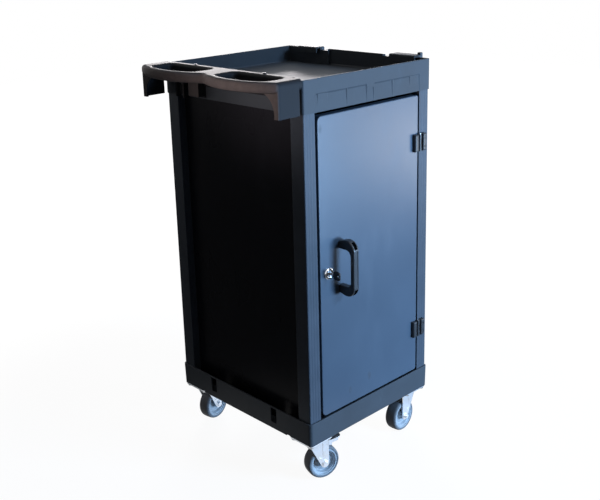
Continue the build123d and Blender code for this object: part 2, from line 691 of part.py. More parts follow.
def push_handle():
    """Two-lobed grip with finger openings, a flange on the tray's end wall and a wing at each end."""
    grip_z0 = grip_top - GRIP_THICKNESS
    rear = -tray_x
    level = Plane.XY.offset(grip_z0)
    handle = extrude(level * grip_plan(), GRIP_THICKNESS)
    corner_x = grip_end_x + GRIP_CORNER_RADIUS
    handle = fillet([e for e in handle.edges().filter_by(Plane.XY) if e.center().X < corner_x], GRIP_ROUND)
    openings = [finger_opening(side) for side in (-1, 1)]
    for opening in openings:
        handle -= extrude(level * opening, GRIP_THICKNESS)
    bars = (rear - GRIP_REACH + GRIP_WIDTH - SCREW_FIT, rear - GRIP_BACK_BAR + SCREW_FIT)
    inside = tray_y - GRIP_ROUND - SCREW_FIT
    levels = [e for e in handle.edges().filter_by(Plane.XY) if abs(e.center().Y) < inside]
    handle = fillet([e for e in levels if bars[0] < e.center().X < bars[1]], GRIP_OPENING_ROUND)
    for piece in wings(grip_z0):
        for opening in openings:
            piece -= extrude(level * opening, GRIP_THICKNESS)
        handle += piece
    flange_half = tray_y - HANDLE_FLANGE_INSET
    flange_z0 = tray_z1 - HANDLE_FLANGE_HEIGHT
    handle += box(rear - HANDLE_FLANGE, rear, -flange_half, flange_half, flange_z0, tray_z1)
    lip_half = tray_y - HANDLE_LIP_INSET
    handle += box(rear, rear + TRAY_HANDLE_WALL, -lip_half, lip_half, tray_z1 - HANDLE_LIP, grip_top)
    holder_zone = (holder_near - HOLDER_CLEARANCE, holder_far + HOLDER_CLEARANCE)
    handle -= box(rear - HANDLE_FLANGE, rear, *holder_zone, flange_z0, holder_top + HOLDER_CLEARANCE)
    root = rear - HANDLE_FLANGE
    rib_top = flange_z0 + HANDLE_RIB_HEIGHT
    rib_tip = root - HANDLE_RIB_REACH
    rib_profile = make_face(Polyline((root, flange_z0), (root, rib_top), (rib_tip, rib_top), close=True))
    rib = extrude(Plane.XZ * rib_profile, HANDLE_RIB / 2, both=True)
    rib_count = int((flange_half - HANDLE_RIB_PITCH / 2) // HANDLE_RIB_PITCH)
    screw_room = SMALL_SCREW[1] + HANDLE_RIB
    for step in range(-rib_count, rib_count + 1):
        y = step * HANDLE_RIB_PITCH
        clear_of_holder = not holder_zone[0] - HANDLE_RIB < y < holder_zone[1] + HANDLE_RIB
        clear_of_screws = all(abs(y - screw_y) > screw_room for screw_y in flange_screw_ys)
        if clear_of_holder and clear_of_screws:
            handle += Pos(0, y, 0) * rib
    return drilled(handle, lip_screws_in + flange_screws_in)


def wings(grip_z0):
    """Plates and front flanges that hang from the ends of the grip, with curved webs to the grip."""
    rear = -tray_x - WING_GAP
    front = grip_end_x
    wing_top = grip_z0 + GRIP_ROUND
    reach = extrude(Plane.XY.offset(tray_z0) * grip_plan(), wing_top - tray_z0)
    edge = tray_y - WING_FLANGE_WIDTH
    curve_y = edge - WING_FILLET
    curve_z = grip_z0 - WING_FILLET
    solids = []
    for side in (-1, 1):
        outer = side * tray_y
        plate = box(rear, front, outer, side * (tray_y - WING_PLATE), tray_z0, wing_top)
        flange = box(front, front + WING_FLANGE, outer, side * edge, tray_z0, wing_top)
        web = box(front, front + WING_FLANGE, side * edge, side * curve_y, curve_z, wing_top)
        web -= rod((front, side * curve_y, curve_z), (1, 0, 0), WING_FILLET, WING_FLANGE)
        solids += [piece & reach for piece in (plate, flange, web)]
    return solids


def post(name):
    """Corner post: a hollow upright with grooves for the panels and flutes on its outer Y face."""
    sx, sy = CORNERS[name]
    outline = Rectangle(POST_LENGTH, POST_WIDTH)
    corner = [v for v in outline.vertices() if v.X * sx > 0 and v.Y * sy > 0]
    outline = fillet(corner, POST_CORNER_RADIUS)
    centre = Pos(sx * (post_out_x - POST_LENGTH / 2), sy * (post_out_y - POST_WIDTH / 2), base_floor_top)
    upright = extrude(centre * outline, tray_under - base_floor_top)
    core_p = POST_LENGTH - GROOVE_DEPTH - POST_WALL
    core_q = POST_WIDTH - GROOVE_DEPTH - POST_WALL
    tall = (base_floor_top, tray_under)
    upright -= corner_box(sx, sy, POST_WALL, core_p, POST_WALL, core_q, *tall)
    groove = (PANEL_SETBACK - PANEL_FIT, PANEL_SETBACK + PANEL_THICKNESS + PANEL_FIT)
    upright -= corner_box(sx, sy, *groove, POST_WIDTH - GROOVE_DEPTH, POST_WIDTH, *tall)
    if sy > 0:
        upright -= corner_box(sx, sy, POST_LENGTH - GROOVE_DEPTH, POST_LENGTH, *groove, *tall)
    flute_y = sy * (post_out_y + flute_radius - FLUTE_DEPTH)
    for step in (-1, 0, 1):
        flute_x = sx * (post_out_x - POST_LENGTH / 2 - step * FLUTE_SPACING)
        upright -= rod((flute_x, flute_y, tall[0]), (0, 0, 1), flute_radius, tall[1] - tall[0])
    if name == "front_right":
        upright = drilled(upright, post_hinge_screws_in)
    if name == "front_left":
        upright = drilled(upright, strike_screws_in)
    return upright


def end_panel(side):
    """Steel sheet between two posts at one end of the cabinet."""
    outer = side * (post_out_x - PANEL_SETBACK)
    half = post_in_y + GROOVE_DEPTH - PANEL_FIT
    return box(outer, outer - side * PANEL_THICKNESS, -half, half, base_floor_top, tray_under - PANEL_TOP_GAP)


def back_panel():
    """Steel sheet between the two back posts."""
    outer = post_out_y - PANEL_SETBACK
    half = post_in_x + GROOVE_DEPTH - PANEL_FIT
    return box(-half, half, outer, outer - PANEL_THICKNESS, base_floor_top, tray_under - PANEL_TOP_GAP)


def door_outline(inset):
    """Door outline in X and Z, moved in by an inset, with larger corners on its free side."""
    width = door_x1 - door_x0 - 2 * inset
    height = door_z1 - door_z0 - 2 * inset
    outline = Rectangle(width, height)
    free = [v for v in outline.vertices() if v.X < 0]
    outline = fillet(free, DOOR_FREE_RADIUS - inset)
    hinged = [v for v in outline.vertices() if v.X > width / 2 - inset - DOOR_SHEET]
    outline = fillet(hinged, DOOR_HINGE_RADIUS - inset)
    return Plane.XZ * Pos((door_x0 + door_x1) / 2, (door_z0 + door_z1) / 2) * outline


def door():
    """Steel pan with its edges turned in, holed for the lock, the pull and the hinges."""
    pan = Pos(0, door_back, 0) * extrude(door_outline(0), DOOR_DEPTH)
    pan = fillet(pan.faces().sort_by(Axis.Y)[0].edges(), DOOR_EDGE_ROUND)
    hollow = Pos(0, door_back, 0) * extrude(door_outline(DOOR_SHEET), DOOR_DEPTH - DOOR_SHEET)
    pan -= hollow
    pan -= rod((lock_x, door_face, lock_z), (0, 1, 0), LOCK_BARREL_RADIUS + LOCK_HOLE_FIT, DOOR_SHEET)
    return drilled(pan, pull_screws_in + door_hinge_screws_in)


def pull_handle():
    """Bow handle on two flared feet, with a sunk screw pocket at each bend."""
    front = door_face - PULL_STANDOFF
    flare = door_face - PULL_FLARE
    half = PULL_LENGTH / 2
    upper = [(door_face, PULL_FOOT_END), (flare, half), (front, half)]
    bow = make_face(Polyline(*upper, *[(y, -z) for y, z in reversed(upper)], close=True))
    bow = fillet([v for v in bow.vertices() if v.X < front + PULL_GRIP_DEPTH], PULL_OUTER_RADIUS)
    bow = fillet([v for v in bow.vertices() if abs(v.X - flare) < SCREW_FIT], PULL_FLARE_RADIUS)
    gap_half = PULL_FOOT_END - PULL_FOOT
    gap_front = front + PULL_GRIP_DEPTH
    upper = [(door_face, gap_half), (gap_front, gap_half)]
    gap = make_face(Polyline(*upper, *[(y, -z) for y, z in reversed(upper)], close=True))
    gap = fillet([v for v in gap.vertices() if v.X < gap_front + PULL_GRIP_DEPTH], PULL_INNER_RADIUS)
    handle = extrude(Plane.YZ.offset(pull_x - PULL_WIDTH / 2) * Pos(0, pull_z) * (bow - gap), PULL_WIDTH)
    sides = [e for e in handle.edges().filter_by(Plane.YZ) if e.center().Y < door_face - SCREW_FIT]
    handle = fillet(sides, PULL_EDGE_ROUND)
    pocket_floor = door_face - PULL_POCKET_FLOOR
    pocket_half = PULL_POCKET_WIDTH / 2
    channel_half = half - PULL_OUTER_RADIUS
    handle -= box(pull_x - pocket_half, pull_x + pocket_half, front, front + PULL_CHANNEL,
                  pull_z - channel_half, pull_z + channel_half)
    for side in (-1, 1):
        pocket_z = pull_z + side * (pull_screw_z + PULL_POCKET_RAISE) - PULL_POCKET_LENGTH / 2
        handle -= box(pull_x - pocket_half, pull_x + pocket_half, front, pocket_floor,
                      pocket_z, pocket_z + PULL_POCKET_LENGTH)
    return drilled(handle, pull_screws_in)


def pull_screws():
    """Screws through the pull's feet and the nuts that hold them inside the door."""
    bore = PULL_SCREW[0] + SCREW_FIT
    nuts = [nut((x, door_face + DOOR_SHEET, z), (0, 1, 0), NUT_FLATS, bore, NUT_THICKNESS)
            for (x, _, z), *_ in pull_screws_in]
    return group([screw(*item) for item in pull_screws_in] + nuts)


def lock_body():
    """Chromed lock housing: a round flange on the door face and a barrel through the sheet."""
    front = (lock_x, door_face - LOCK_FLANGE_THICKNESS, lock_z)
    flange = rod(front, (0, 1, 0), LOCK_FLANGE_RADIUS, LOCK_FLANGE_THICKNESS)
    rim = flange.edges().filter_by(GeomType.CIRCLE).sort_by(Axis.Y)[0]
    flange = fillet(rim, LOCK_FLANGE_ROUND)
    barrel_end = cam_front - HINGE_AXIAL_GAP
    body = flange + rod((lock_x, door_face, lock_z), (0, 1, 0), LOCK_BARREL_RADIUS, barrel_end - door_face)
    return body - rod(front, (0, 1, 0), PLUG_RADIUS + RUNNING_FIT, barrel_end - front[1])


def lock_nut():
    """Hexagonal nut that clamps the lock housing to the door sheet."""
    return nut((lock_x, door_face + DOOR_SHEET, lock_z), (0, 1, 0), LOCK_NUT_FLATS,
               LOCK_BARREL_RADIUS + LOCK_HOLE_FIT, LOCK_NUT_THICKNESS)


def key_slot(clearance):
    """Space that the key blade takes in the plug."""
    thick = KEY_BLADE_THICKNESS / 2 + clearance
    tall = KEY_BLADE_HEIGHT / 2 + clearance
    blade_x = (lock_x - thick, lock_x + thick)
    return box(*blade_x, key_front, key_end + clearance, lock_z - tall, lock_z + tall)


def lock_plug():
    """Turning plug with a keyway in front and a square tail that carries the cam."""
    plug = rod((lock_x, key_front, lock_z), (0, 1, 0), PLUG_RADIUS, cam_front - key_front)
    half = PLUG_SQUARE / 2
    plug += box(lock_x - half, lock_x + half, cam_front, cam_back, lock_z - half, lock_z + half)
    plug -= key_slot(KEY_FIT)
    return drilled(plug, [cam_screw_in])


def lock_cam():
    """Flat cam that points down when the lock is open and behind the strike when it is locked."""
    reach = Pos(0, -CAM_REACH / 2) * Rectangle(CAM_WIDTH, CAM_REACH)
    outline = Circle(CAM_WIDTH / 2) + reach
    outline = fillet(outline.vertices().sort_by(Axis.Y)[:2], CAM_TIP_RADIUS)
    outline -= Rectangle(PLUG_SQUARE + 2 * CAM_FIT, PLUG_SQUARE + 2 * CAM_FIT)
    face = Plane((lock_x, cam_front, lock_z), x_dir=(1, 0, 0), z_dir=(0, -1, 0))
    return extrude(face * outline, -CAM_THICKNESS)


def key_blade():
    """Steel blade of the key, from the end of the keyway to its bow."""
    tall = KEY_BLADE_HEIGHT / 2
    thick = KEY_BLADE_THICKNESS / 2
    shank_end = key_front - KEY_SHANK - KEY_BOW_GRIP
    shank = box(lock_x - thick, lock_x + thick, shank_end, key_front, lock_z - tall, lock_z + tall)
    return key_slot(0) + shank


def key_bow():
    """Moulded key head in the upright plane, closed over the end of the blade."""
    bow_y = key_front - KEY_SHANK - KEY_BOW_SIZE / 2
    outline = RectangleRounded(KEY_BOW_SIZE, KEY_BOW_SIZE, KEY_BOW_RADIUS)
    outline -= Pos(-KEY_BOW_SIZE / 2 + 2 * KEY_BOW_HOLE, 0) * Circle(KEY_BOW_HOLE)
    face = Plane.YZ.offset(lock_x - KEY_BOW_THICKNESS / 2)
    bow = extrude(face * Pos(bow_y, lock_z) * outline, KEY_BOW_THICKNESS)
    return fillet(bow.edges().filter_by(Plane.YZ), KEY_BOW_ROUND) - key_blade()


def strike_plate():
    """Angle on the front left post that the cam turns behind."""
    x0 = -post_in_x
    z0 = lock_z - STRIKE_HEIGHT / 2
    z1 = lock_z + STRIKE_HEIGHT / 2
    tab = box(x0, x0 + STRIKE_TAB, strike_front, strike_front + STRIKE_THICKNESS, z0, z1)
    leg = box(x0, x0 + STRIKE_THICKNESS, strike_front, strike_front + STRIKE_THICKNESS + STRIKE_LEG, z0, z1)
    return drilled(tab + leg, strike_screws_in)


def hinge_leaf(z, side):
    """Moulded hinge half: a thick block with webs to its own knuckles. Side +1 is on the post."""
    z0 = z - HINGE_HEIGHT / 2
    z1 = z + HINGE_HEIGHT / 2
    middle = HINGE_KNUCKLE_MIDDLE / 2
    if side > 0:
        spans = [(z0, z - middle - HINGE_AXIAL_GAP), (z + middle + HINGE_AXIAL_GAP, z1)]
    else:
        spans = [(z - middle, z + middle)]
    near = hinge_x + side * HINGE_BLOCK_START
    far = near + side * HINGE_BLOCK_WIDTH
    front = door_face - HINGE_BLOCK_THICKNESS
    block = box(near, far, front, door_face, z0, z1)
    block = fillet(block.faces().sort_by(Axis.Y)[0].edges(), HINGE_BLOCK_ROUND)
    for low, high in spans:
        block += box(hinge_x, near + side * HINGE_BLOCK_ROUND, hinge_y, door_face, low, high)
        block += rod((hinge_x, hinge_y, low), (0, 0, 1), HINGE_KNUCKLE_RADIUS, high - low)
        block -= rod((hinge_x, hinge_y, low), (0, 0, 1), HINGE_PIN_RADIUS + RUNNING_FIT, high - low)
    if side > 0:
        for seat, into, size, _ in post_hinge_screws_in:
            block -= rod(seat, (0, -1, 0), size[1] + SCREW_FIT, HINGE_SCREW_SINK)
        return drilled(block, post_hinge_screws_in)
    return drilled(block, door_hinge_screws_in)


def hinge_pin(z):
    """Hinge pin with a small head that stands on the upper knuckle."""
    low = z - HINGE_HEIGHT / 2
    pin = rod((hinge_x, hinge_y, low), (0, 0, 1), HINGE_PIN_RADIUS, HINGE_HEIGHT)
    return pin + rod((hinge_x, hinge_y, low + HINGE_HEIGHT), (0, 0, 1), HINGE_PIN_HEAD, HINGE_PIN_HEAD_HEIGHT)


def tool_holder():
    """Bracket on the tray's end wall: a hollow block and two fins that leave slots for tools."""
    x1 = -tray_x
    holder = box(x1 - HOLDER_BACK, x1, holder_near, holder_far, holder_top - HOLDER_BACK_HEIGHT, holder_top)
    holder += box(x1 - HOLDER_FAR_REACH, x1, holder_near, holder_far, holder_top - HOLDER_TOP, holder_top)
    block_end = holder_near + HOLDER_BLOCK_WIDTH
    block_z0 = holder_top - HOLDER_BLOCK_HEIGHT
    holder += fronted(x1 - HOLDER_BLOCK_REACH, x1, holder_near, block_end, block_z0, holder_top)
    wall = HOLDER_BLOCK_WALL
    hollow_x = (x1 - HOLDER_BLOCK_REACH + wall, x1 - HOLDER_BACK)
    holder -= box(*hollow_x, holder_near + wall, block_end - wall, block_z0, holder_top - HOLDER_TOP)
    fin_z0 = holder_top - HOLDER_FIN_HEIGHT
    fins = ((middle_fin, HOLDER_MIDDLE_REACH), (holder_far - HOLDER_FIN, HOLDER_FAR_REACH))
    for start, reach in fins:
        holder += fronted(x1 - reach, x1, start, start + HOLDER_FIN, fin_z0, holder_top)
    return drilled(holder, holder_screws_in)


def fronted(x0, x1, y0, y1, z0, z1):
    """Box whose edges at its low X face are rounded."""
    block = box(x0, x1, y0, y1, z0, z1)
    return fillet(block.faces().sort_by(Axis.X)[0].edges(), HOLDER_ROUND)


def topped(x0, x1, y0, y1, z0, z1, radius):
    """Box whose top edges are rounded."""
    block = box(x0, x1, y0, y1, z0, z1)
    return fillet(block.faces().sort_by(Axis.Z)[-1].edges(), radius)


def cord_hook(side):
    """Cord hook on the tray's far end: a plate, a hollow roll over the rim and two upturned arms."""
    x0 = tray_x
    tip_x = x0 + HOOK_REACH
    hook_start, hook_end = hook_starts[side], hook_ends[side]
    span = (side * hook_start, side * hook_end)
    hook = box(x0, x0 + HOOK_PLATE, *span, tray_z1 - HOOK_PLATE_HEIGHT, tray_z1)
    rise = HOOK_FRONT_RISE if side < 0 else HOOK_BACK_RISE
    roll_x0 = pad_x - HOOK_ROLL_LIP
    roll_z0 = tray_z1 - HOOK_ROLL_DROP
    roll = topped(roll_x0, x0 + HOOK_BAR, *span, roll_z0, tray_z1 + rise, HOOK_ROLL_ROUND)
    if side < 0:
        post_y = (side * (hook_end - HOOK_POST_WIDTH), side * hook_end)
        roll += topped(x0, x0 + HOOK_BAR, *post_y, roll_z0, tray_z1 + HOOK_POST_RISE, HOOK_ROUND)
    roll -= box(roll_x0 + HOOK_ROLL_SKIRT, x0, *span, roll_z0, tray_z1)
    hook += roll
    arm_z0 = tray_z1 - HOOK_ARM_DROP
    for start in (hook_start, hook_end - HOOK_ARM_WIDTH):
        arm_y = (side * start, side * (start + HOOK_ARM_WIDTH))
        hook += box(x0, tip_x, *arm_y, arm_z0, arm_z0 + HOOK_ARM_HEIGHT)
        hook += topped(tip_x - HOOK_TIP, tip_x, *arm_y, arm_z0, tray_z1 - HOOK_TIP_DROP, HOOK_ROUND)
    return drilled(hook, hook_screws_in[side])


def placed(name, shape):
    """Caster piece moved from its own frame, kingpin on Z and trail along X, to its corner."""
    sx, sy = CORNERS[name]
    return Pos(sx * caster_x, sy * caster_y, 0) * Rot(0, 0, CASTER_YAWS[name]) * shape


def caster_plate():
    """Top plate with a raceway ring under it, square to the cart."""
    plate = slab(PLATE_SIZE / 2, PLATE_SIZE / 2, PLATE_RADIUS, plate_under, CASTER_HEIGHT)
    plate += rod((0, 0, race_under), (0, 0, 1), RACE_RADIUS, RACE_HEIGHT)
    plate -= Pos(0, 0, ball_z) * Torus(BALL_CIRCLE, BALL_RADIUS + BALL_FIT)
    plate -= rod((0, 0, race_under), (0, 0, 1), KINGPIN_RADIUS + RUNNING_FIT, CASTER_HEIGHT - race_under)
    for dx, dy in plate_corners:
        plate -= rod((dx, dy, plate_under), (0, 0, 1), CASTER_BOLT[0] + SCREW_FIT, PLATE_THICKNESS)
    return plate


def caster_fork(braked):
    """Pressed fork: a round crown under the raceway and a slanted leg on each side of the wheel."""
    axle = Vector(CASTER_TRAIL, WHEEL_RADIUS)
    lead = Vector(-FORK_LEAD, crown_under)
    to_axle = axle - lead
    tangent = math.atan2(to_axle.Y, to_axle.X) - math.asin(FORK_BOSS / to_axle.length)
    touch = axle + Vector(math.sin(tangent), -math.cos(tangent)) * FORK_BOSS
    low = axle - Vector(0, FORK_BOSS)
    side = make_face([
        Line((-FORK_LEAD, crown_under), (-FORK_LEAD, crown_top)),
        Line((-FORK_LEAD, crown_top), (fork_trail, crown_top)),
        Line((fork_trail, crown_top), (fork_trail, WHEEL_RADIUS)),
        ThreePointArc((fork_trail, WHEEL_RADIUS), (low.X, low.Y), (touch.X, touch.Y)),
        Line((touch.X, touch.Y), (-FORK_LEAD, crown_under)),
    ])
    fork = rod((0, 0, crown_under), (0, 0, 1), FORK_CROWN_RADIUS, FORK_CROWN)
    fork += box(0, fork_trail, -fork_outer, fork_outer, crown_under, crown_top)
    for offset in (-fork_outer, fork_inner):
        fork += extrude(Plane.XZ.offset(offset) * side, FORK_SHEET)
    channel_z = (WHEEL_RADIUS + FORK_CHANNEL_END, crown_under)
    channel = Rectangle(FORK_CHANNEL[1] - FORK_CHANNEL[0], channel_z[1] - channel_z[0])
    channel = fillet(channel.vertices(), FORK_CHANNEL_RADIUS)
    channel = Plane.XZ * Pos(sum(FORK_CHANNEL) / 2, sum(channel_z) / 2) * channel
    for offset in (-fork_outer, fork_outer - FORK_CHANNEL_DEPTH):
        fork -= Pos(0, offset + FORK_CHANNEL_DEPTH, 0) * extrude(channel, FORK_CHANNEL_DEPTH)
    fork -= Pos(0, 0, ball_z) * Torus(BALL_CIRCLE, BALL_RADIUS + BALL_FIT)
    fork -= rod((0, 0, crown_under), (0, 0, 1), KINGPIN_RADIUS + RUNNING_FIT, FORK_CROWN)
    axle_end = (CASTER_TRAIL, -fork_outer, WHEEL_RADIUS)
    fork -= rod(axle_end, (0, 1, 0), AXLE_RADIUS + SCREW_FIT, 2 * fork_outer)
    if braked:
        pivot_end = (PEDAL_PIVOT_X, -fork_outer, PEDAL_PIVOT_Z)
        fork -= rod(pivot_end, (0, 1, 0), PEDAL_PIN + RUNNING_FIT, 2 * fork_outer)
    return fork


def caster_axle():
    """Axle bolt through the fork, the sleeve that the hub runs on, two washers and the nut."""
    bore = AXLE_RADIUS + SCREW_FIT
    seat = fork_outer + AXLE_WASHER
    head_start = (CASTER_TRAIL, -seat - AXLE_HEAD_HEIGHT, WHEEL_RADIUS)
    bolt = hexagon(head_start, (0, 1, 0), AXLE_HEAD_FLATS, AXLE_HEAD_HEIGHT)
    bolt += rod((CASTER_TRAIL, -seat, WHEEL_RADIUS), (0, 1, 0), AXLE_RADIUS,
                2 * seat + AXLE_HEAD_HEIGHT + AXLE_END)
    sleeve = washer((CASTER_TRAIL, -fork_inner, WHEEL_RADIUS), (0, 1, 0), SLEEVE_RADIUS, bore, 2 * fork_inner)
    rings = [washer((CASTER_TRAIL, y, WHEEL_RADIUS), (0, 1, 0), AXLE_WASHER_RADIUS, bore, AXLE_WASHER)
             for y in (-seat, fork_outer)]
    lock = nut((CASTER_TRAIL, seat, WHEEL_RADIUS), (0, 1, 0), AXLE_HEAD_FLATS, bore, AXLE_HEAD_HEIGHT)
    return group([bolt, sleeve, lock, *rings])


def turned(profile):
    """Ring turned about the wheel's axle from a profile drawn with its radius along X."""
    return Pos(CASTER_TRAIL, 0, WHEEL_RADIUS) * revolve(profile, Axis.Y)


def caster_wheel():
    """Wheel core: a hub, a thin web and a rim that carries the tyre."""
    rim_out = WHEEL_RADIUS - TYRE_THICKNESS
    rim_in = rim_out - RIM_THICKNESS
    rim_half = WHEEL_WIDTH / 2 - RIM_INSET
    hub_half = HUB_WIDTH / 2
    web_half = WEB_THICKNESS / 2
    bore = SLEEVE_RADIUS + RUNNING_FIT
    half = [
        (bore, hub_half),
        (HUB_RADIUS, hub_half),
        (HUB_RADIUS, web_half),
        (rim_in, web_half),
        (rim_in, rim_half),
        (rim_out, rim_half),
    ]
    return turned(make_face(Polyline(*half, *[(r, -a) for r, a in reversed(half)], close=True)))


def caster_tyre():
    """Tread ring with rounded shoulders."""
    middle = WHEEL_RADIUS - TYRE_THICKNESS / 2
    profile = Pos(middle, 0) * Rectangle(TYRE_THICKNESS, WHEEL_WIDTH)
    return turned(fillet([v for v in profile.vertices() if v.X > middle], WHEEL_SHOULDER))


def brake_pedal():
    """Foot lever on trunnions in the fork, with a shoe that meets the tread when it is pressed."""
    half = PEDAL_WIDTH / 2
    top = PEDAL_PIVOT_Z + PEDAL_BOSS
    tip_z = top + PEDAL_TIP_RISE
    upper = [(PEDAL_PIVOT_X, top), (PEDAL_TIP_X, tip_z)]
    lower = [(x, z - PEDAL_SHEET) for x, z in reversed(upper)]
    blade = make_face(Polyline(*upper, *lower, close=True))
    pedal = extrude(Plane.XZ * blade, half, both=True)
    tips = [e for e in pedal.edges().filter_by(Axis.Z) if e.center().X > PEDAL_TIP_X - PEDAL_SHEET]
    pedal = fillet(tips, PEDAL_TIP_RADIUS)
    pedal += rod((PEDAL_PIVOT_X, -half, PEDAL_PIVOT_Z), (0, 1, 0), PEDAL_BOSS, PEDAL_WIDTH)
    shoe_x0 = PEDAL_PIVOT_X + SHOE_START
    slope = PEDAL_TIP_RISE / (PEDAL_TIP_X - PEDAL_PIVOT_X)
    side_start = shoe_x0 + SHOE_LENGTH
    side_end = PEDAL_TIP_X - PEDAL_TIP_RADIUS
    corners = [(x, top + slope * (x - PEDAL_PIVOT_X)) for x in (side_start, side_end)]
    corners += [(x, z - PEDAL_SIDE) for x, z in reversed(corners)]
    wall = extrude(Plane.XZ * make_face(Polyline(*corners, close=True)), PEDAL_SHEET / 2, both=True)
    for side in (-1, 1):
        pedal += Pos(0, side * (half - PEDAL_SHEET / 2), 0) * wall
    shoe_top = top - PEDAL_SHEET / 2 + slope * SHOE_START
    shoe = box(shoe_x0, shoe_x0 + SHOE_LENGTH, -half, half, WHEEL_RADIUS, shoe_top)
    arm_x = CASTER_TRAIL - PEDAL_PIVOT_X
    arm_z = WHEEL_RADIUS - PEDAL_PIVOT_Z
    swing = math.radians(-PEDAL_SWING)
    centre_x = PEDAL_PIVOT_X + arm_x * math.cos(swing) + arm_z * math.sin(swing)
    centre_z = PEDAL_PIVOT_Z - arm_x * math.sin(swing) + arm_z * math.cos(swing)
    shoe -= rod((centre_x, -half, centre_z), (0, 1, 0), WHEEL_RADIUS + SHOE_GAP, PEDAL_WIDTH)
    pedal += shoe
    return pedal + rod((PEDAL_PIVOT_X, -fork_outer, PEDAL_PIVOT_Z), (0, 1, 0), PEDAL_PIN, 2 * fork_outer)


def kingpin():
    """Rivet that holds the fork under the plate and lets it turn."""
    low = crown_under - KINGPIN_GAP - KINGPIN_HEAD_HEIGHT
    head = rod((0, 0, low), (0, 0, 1), KINGPIN_HEAD_RADIUS, KINGPIN_HEAD_HEIGHT)
    return head + rod((0, 0, low), (0, 0, 1), KINGPIN_RADIUS, CASTER_HEIGHT - low)


def balls():
    """Ring of bearing balls between the plate and the crown."""
    return [Pos(*(BALL_CIRCLE * f(math.tau * i / BALL_COUNT) for f in (math.cos, math.sin)), ball_z)
            * Sphere(BALL_RADIUS) for i in range(BALL_COUNT)]


def build():
    """Every node by name, about the cabinet's own centre."""
    nodes = {
        "base_tray": base_tray(),
        "top_tray": top_tray(),
        "push_handle": push_handle(),
        "handle_end_panel": end_panel(-1),
        "far_end_panel": end_panel(1),
        "back_panel": back_panel(),
        "door": door(),
        "pull_handle": pull_handle(),
        "pull_screws": pull_screws(),
        "lock_body": lock_body(),
        "lock_nut": lock_nut(),
        "lock_plug": lock_plug(),
        "lock_cam": lock_cam(),
        "cam_screw": screw(*cam_screw_in),
        "key_blade": key_blade(),
        "key_bow": key_bow(),
        "strike_plate": strike_plate(),
        "strike_screws": group(screw(*item) for item in strike_screws_in),
        "hinge_screws_post": group(screw(*item) for item in post_hinge_screws_in),
        "hinge_screws_door": group(screw(*item) for item in door_hinge_screws_in),
        "tool_holder": tool_holder(),
        "cord_hook_front": cord_hook(-1),
        "cord_hook_back": cord_hook(1),
        "tray_screws": group(screw(*item) for item in tray_screws_in),
        "caster_bolts": group(screw(*item) for item in caster_bolts_in),
        "kingpins": group(placed(name, kingpin()) for name in CORNERS),
        "swivel_balls": group(placed(name, ball) for name in CORNERS for ball in balls()),
    }
    for level, z in hinge_heights.items():
        nodes[f"hinge_{level}_post_leaf"] = hinge_leaf(z, 1)
        nodes[f"hinge_{level}_door_leaf"] = hinge_leaf(z, -1)
        nodes[f"hinge_{level}_pin"] = hinge_pin(z)
    for name, (sx, sy) in CORNERS.items():
        nodes[f"post_{name}"] = post(name)
        nodes[f"caster_plate_{name}"] = Pos(sx * caster_x, sy * caster_y, 0) * caster_plate()
        nodes[f"caster_fork_{name}"] = placed(name, caster_fork(name in BRAKED_CASTERS))
        nodes[f"caster_axle_{name}"] = placed(name, caster_axle())
        nodes[f"caster_wheel_{name}"] = placed(name, caster_wheel())
        nodes[f"caster_tyre_{name}"] = placed(name, caster_tyre())
    for name in BRAKED_CASTERS:
        nodes[f"brake_pedal_{name}"] = placed(name, brake_pedal())
    return nodes


cart = build()

# The origin is on the floor under the middle of the whole cart
boxes = [shape.bounding_box() for shape in cart.values()]
shift_x = -(min(b.min.X for b in boxes) + max(b.max.X for b in boxes)) / 2
shift_y = -(min(b.min.Y for b in boxes) + max(b.max.Y for b in boxes)) / 2
shift = Pos(shift_x, shift_y, 0)

for node, shape in cart.items():
    export_step(shift * shape, f"parts/{node}.step")
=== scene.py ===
"""Looks of a compact utility cart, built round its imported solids.

Most CAD nodes keep their shape and get procedural finishes. The wheels, the treads and the lock's
rosette are surfaces worked out with numpy, which stand for their plain solids.
Metres, +Z up. The door is at -Y and the push handle at -X.
"""

import json
import logging
import math
from dataclasses import dataclass, field
from enum import Enum
from functools import reduce
from typing import Any, Dict, List, Optional, Sequence, Tuple, Union

import bpy
import numpy as np
from mathutils import Matrix, Vector

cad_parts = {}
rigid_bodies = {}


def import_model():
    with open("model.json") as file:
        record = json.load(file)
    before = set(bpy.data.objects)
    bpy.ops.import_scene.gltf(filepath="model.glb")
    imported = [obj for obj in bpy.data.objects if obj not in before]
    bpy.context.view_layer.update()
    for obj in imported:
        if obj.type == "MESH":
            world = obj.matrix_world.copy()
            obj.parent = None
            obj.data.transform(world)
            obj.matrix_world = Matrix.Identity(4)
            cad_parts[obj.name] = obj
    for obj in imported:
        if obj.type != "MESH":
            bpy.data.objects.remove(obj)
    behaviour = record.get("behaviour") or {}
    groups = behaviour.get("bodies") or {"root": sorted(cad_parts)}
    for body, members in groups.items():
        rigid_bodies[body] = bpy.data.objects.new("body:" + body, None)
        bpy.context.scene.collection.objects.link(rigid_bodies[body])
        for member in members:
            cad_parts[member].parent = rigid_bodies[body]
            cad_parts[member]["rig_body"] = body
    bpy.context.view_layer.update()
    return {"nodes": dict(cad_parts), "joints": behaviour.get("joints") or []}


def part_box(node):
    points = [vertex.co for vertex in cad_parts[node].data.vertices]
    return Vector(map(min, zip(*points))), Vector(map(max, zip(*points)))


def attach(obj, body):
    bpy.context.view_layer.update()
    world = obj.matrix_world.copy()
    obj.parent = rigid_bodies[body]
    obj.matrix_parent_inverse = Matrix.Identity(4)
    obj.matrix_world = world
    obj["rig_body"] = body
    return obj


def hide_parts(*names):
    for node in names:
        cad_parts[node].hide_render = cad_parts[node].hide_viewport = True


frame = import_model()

LOG = logging.getLogger("cart")

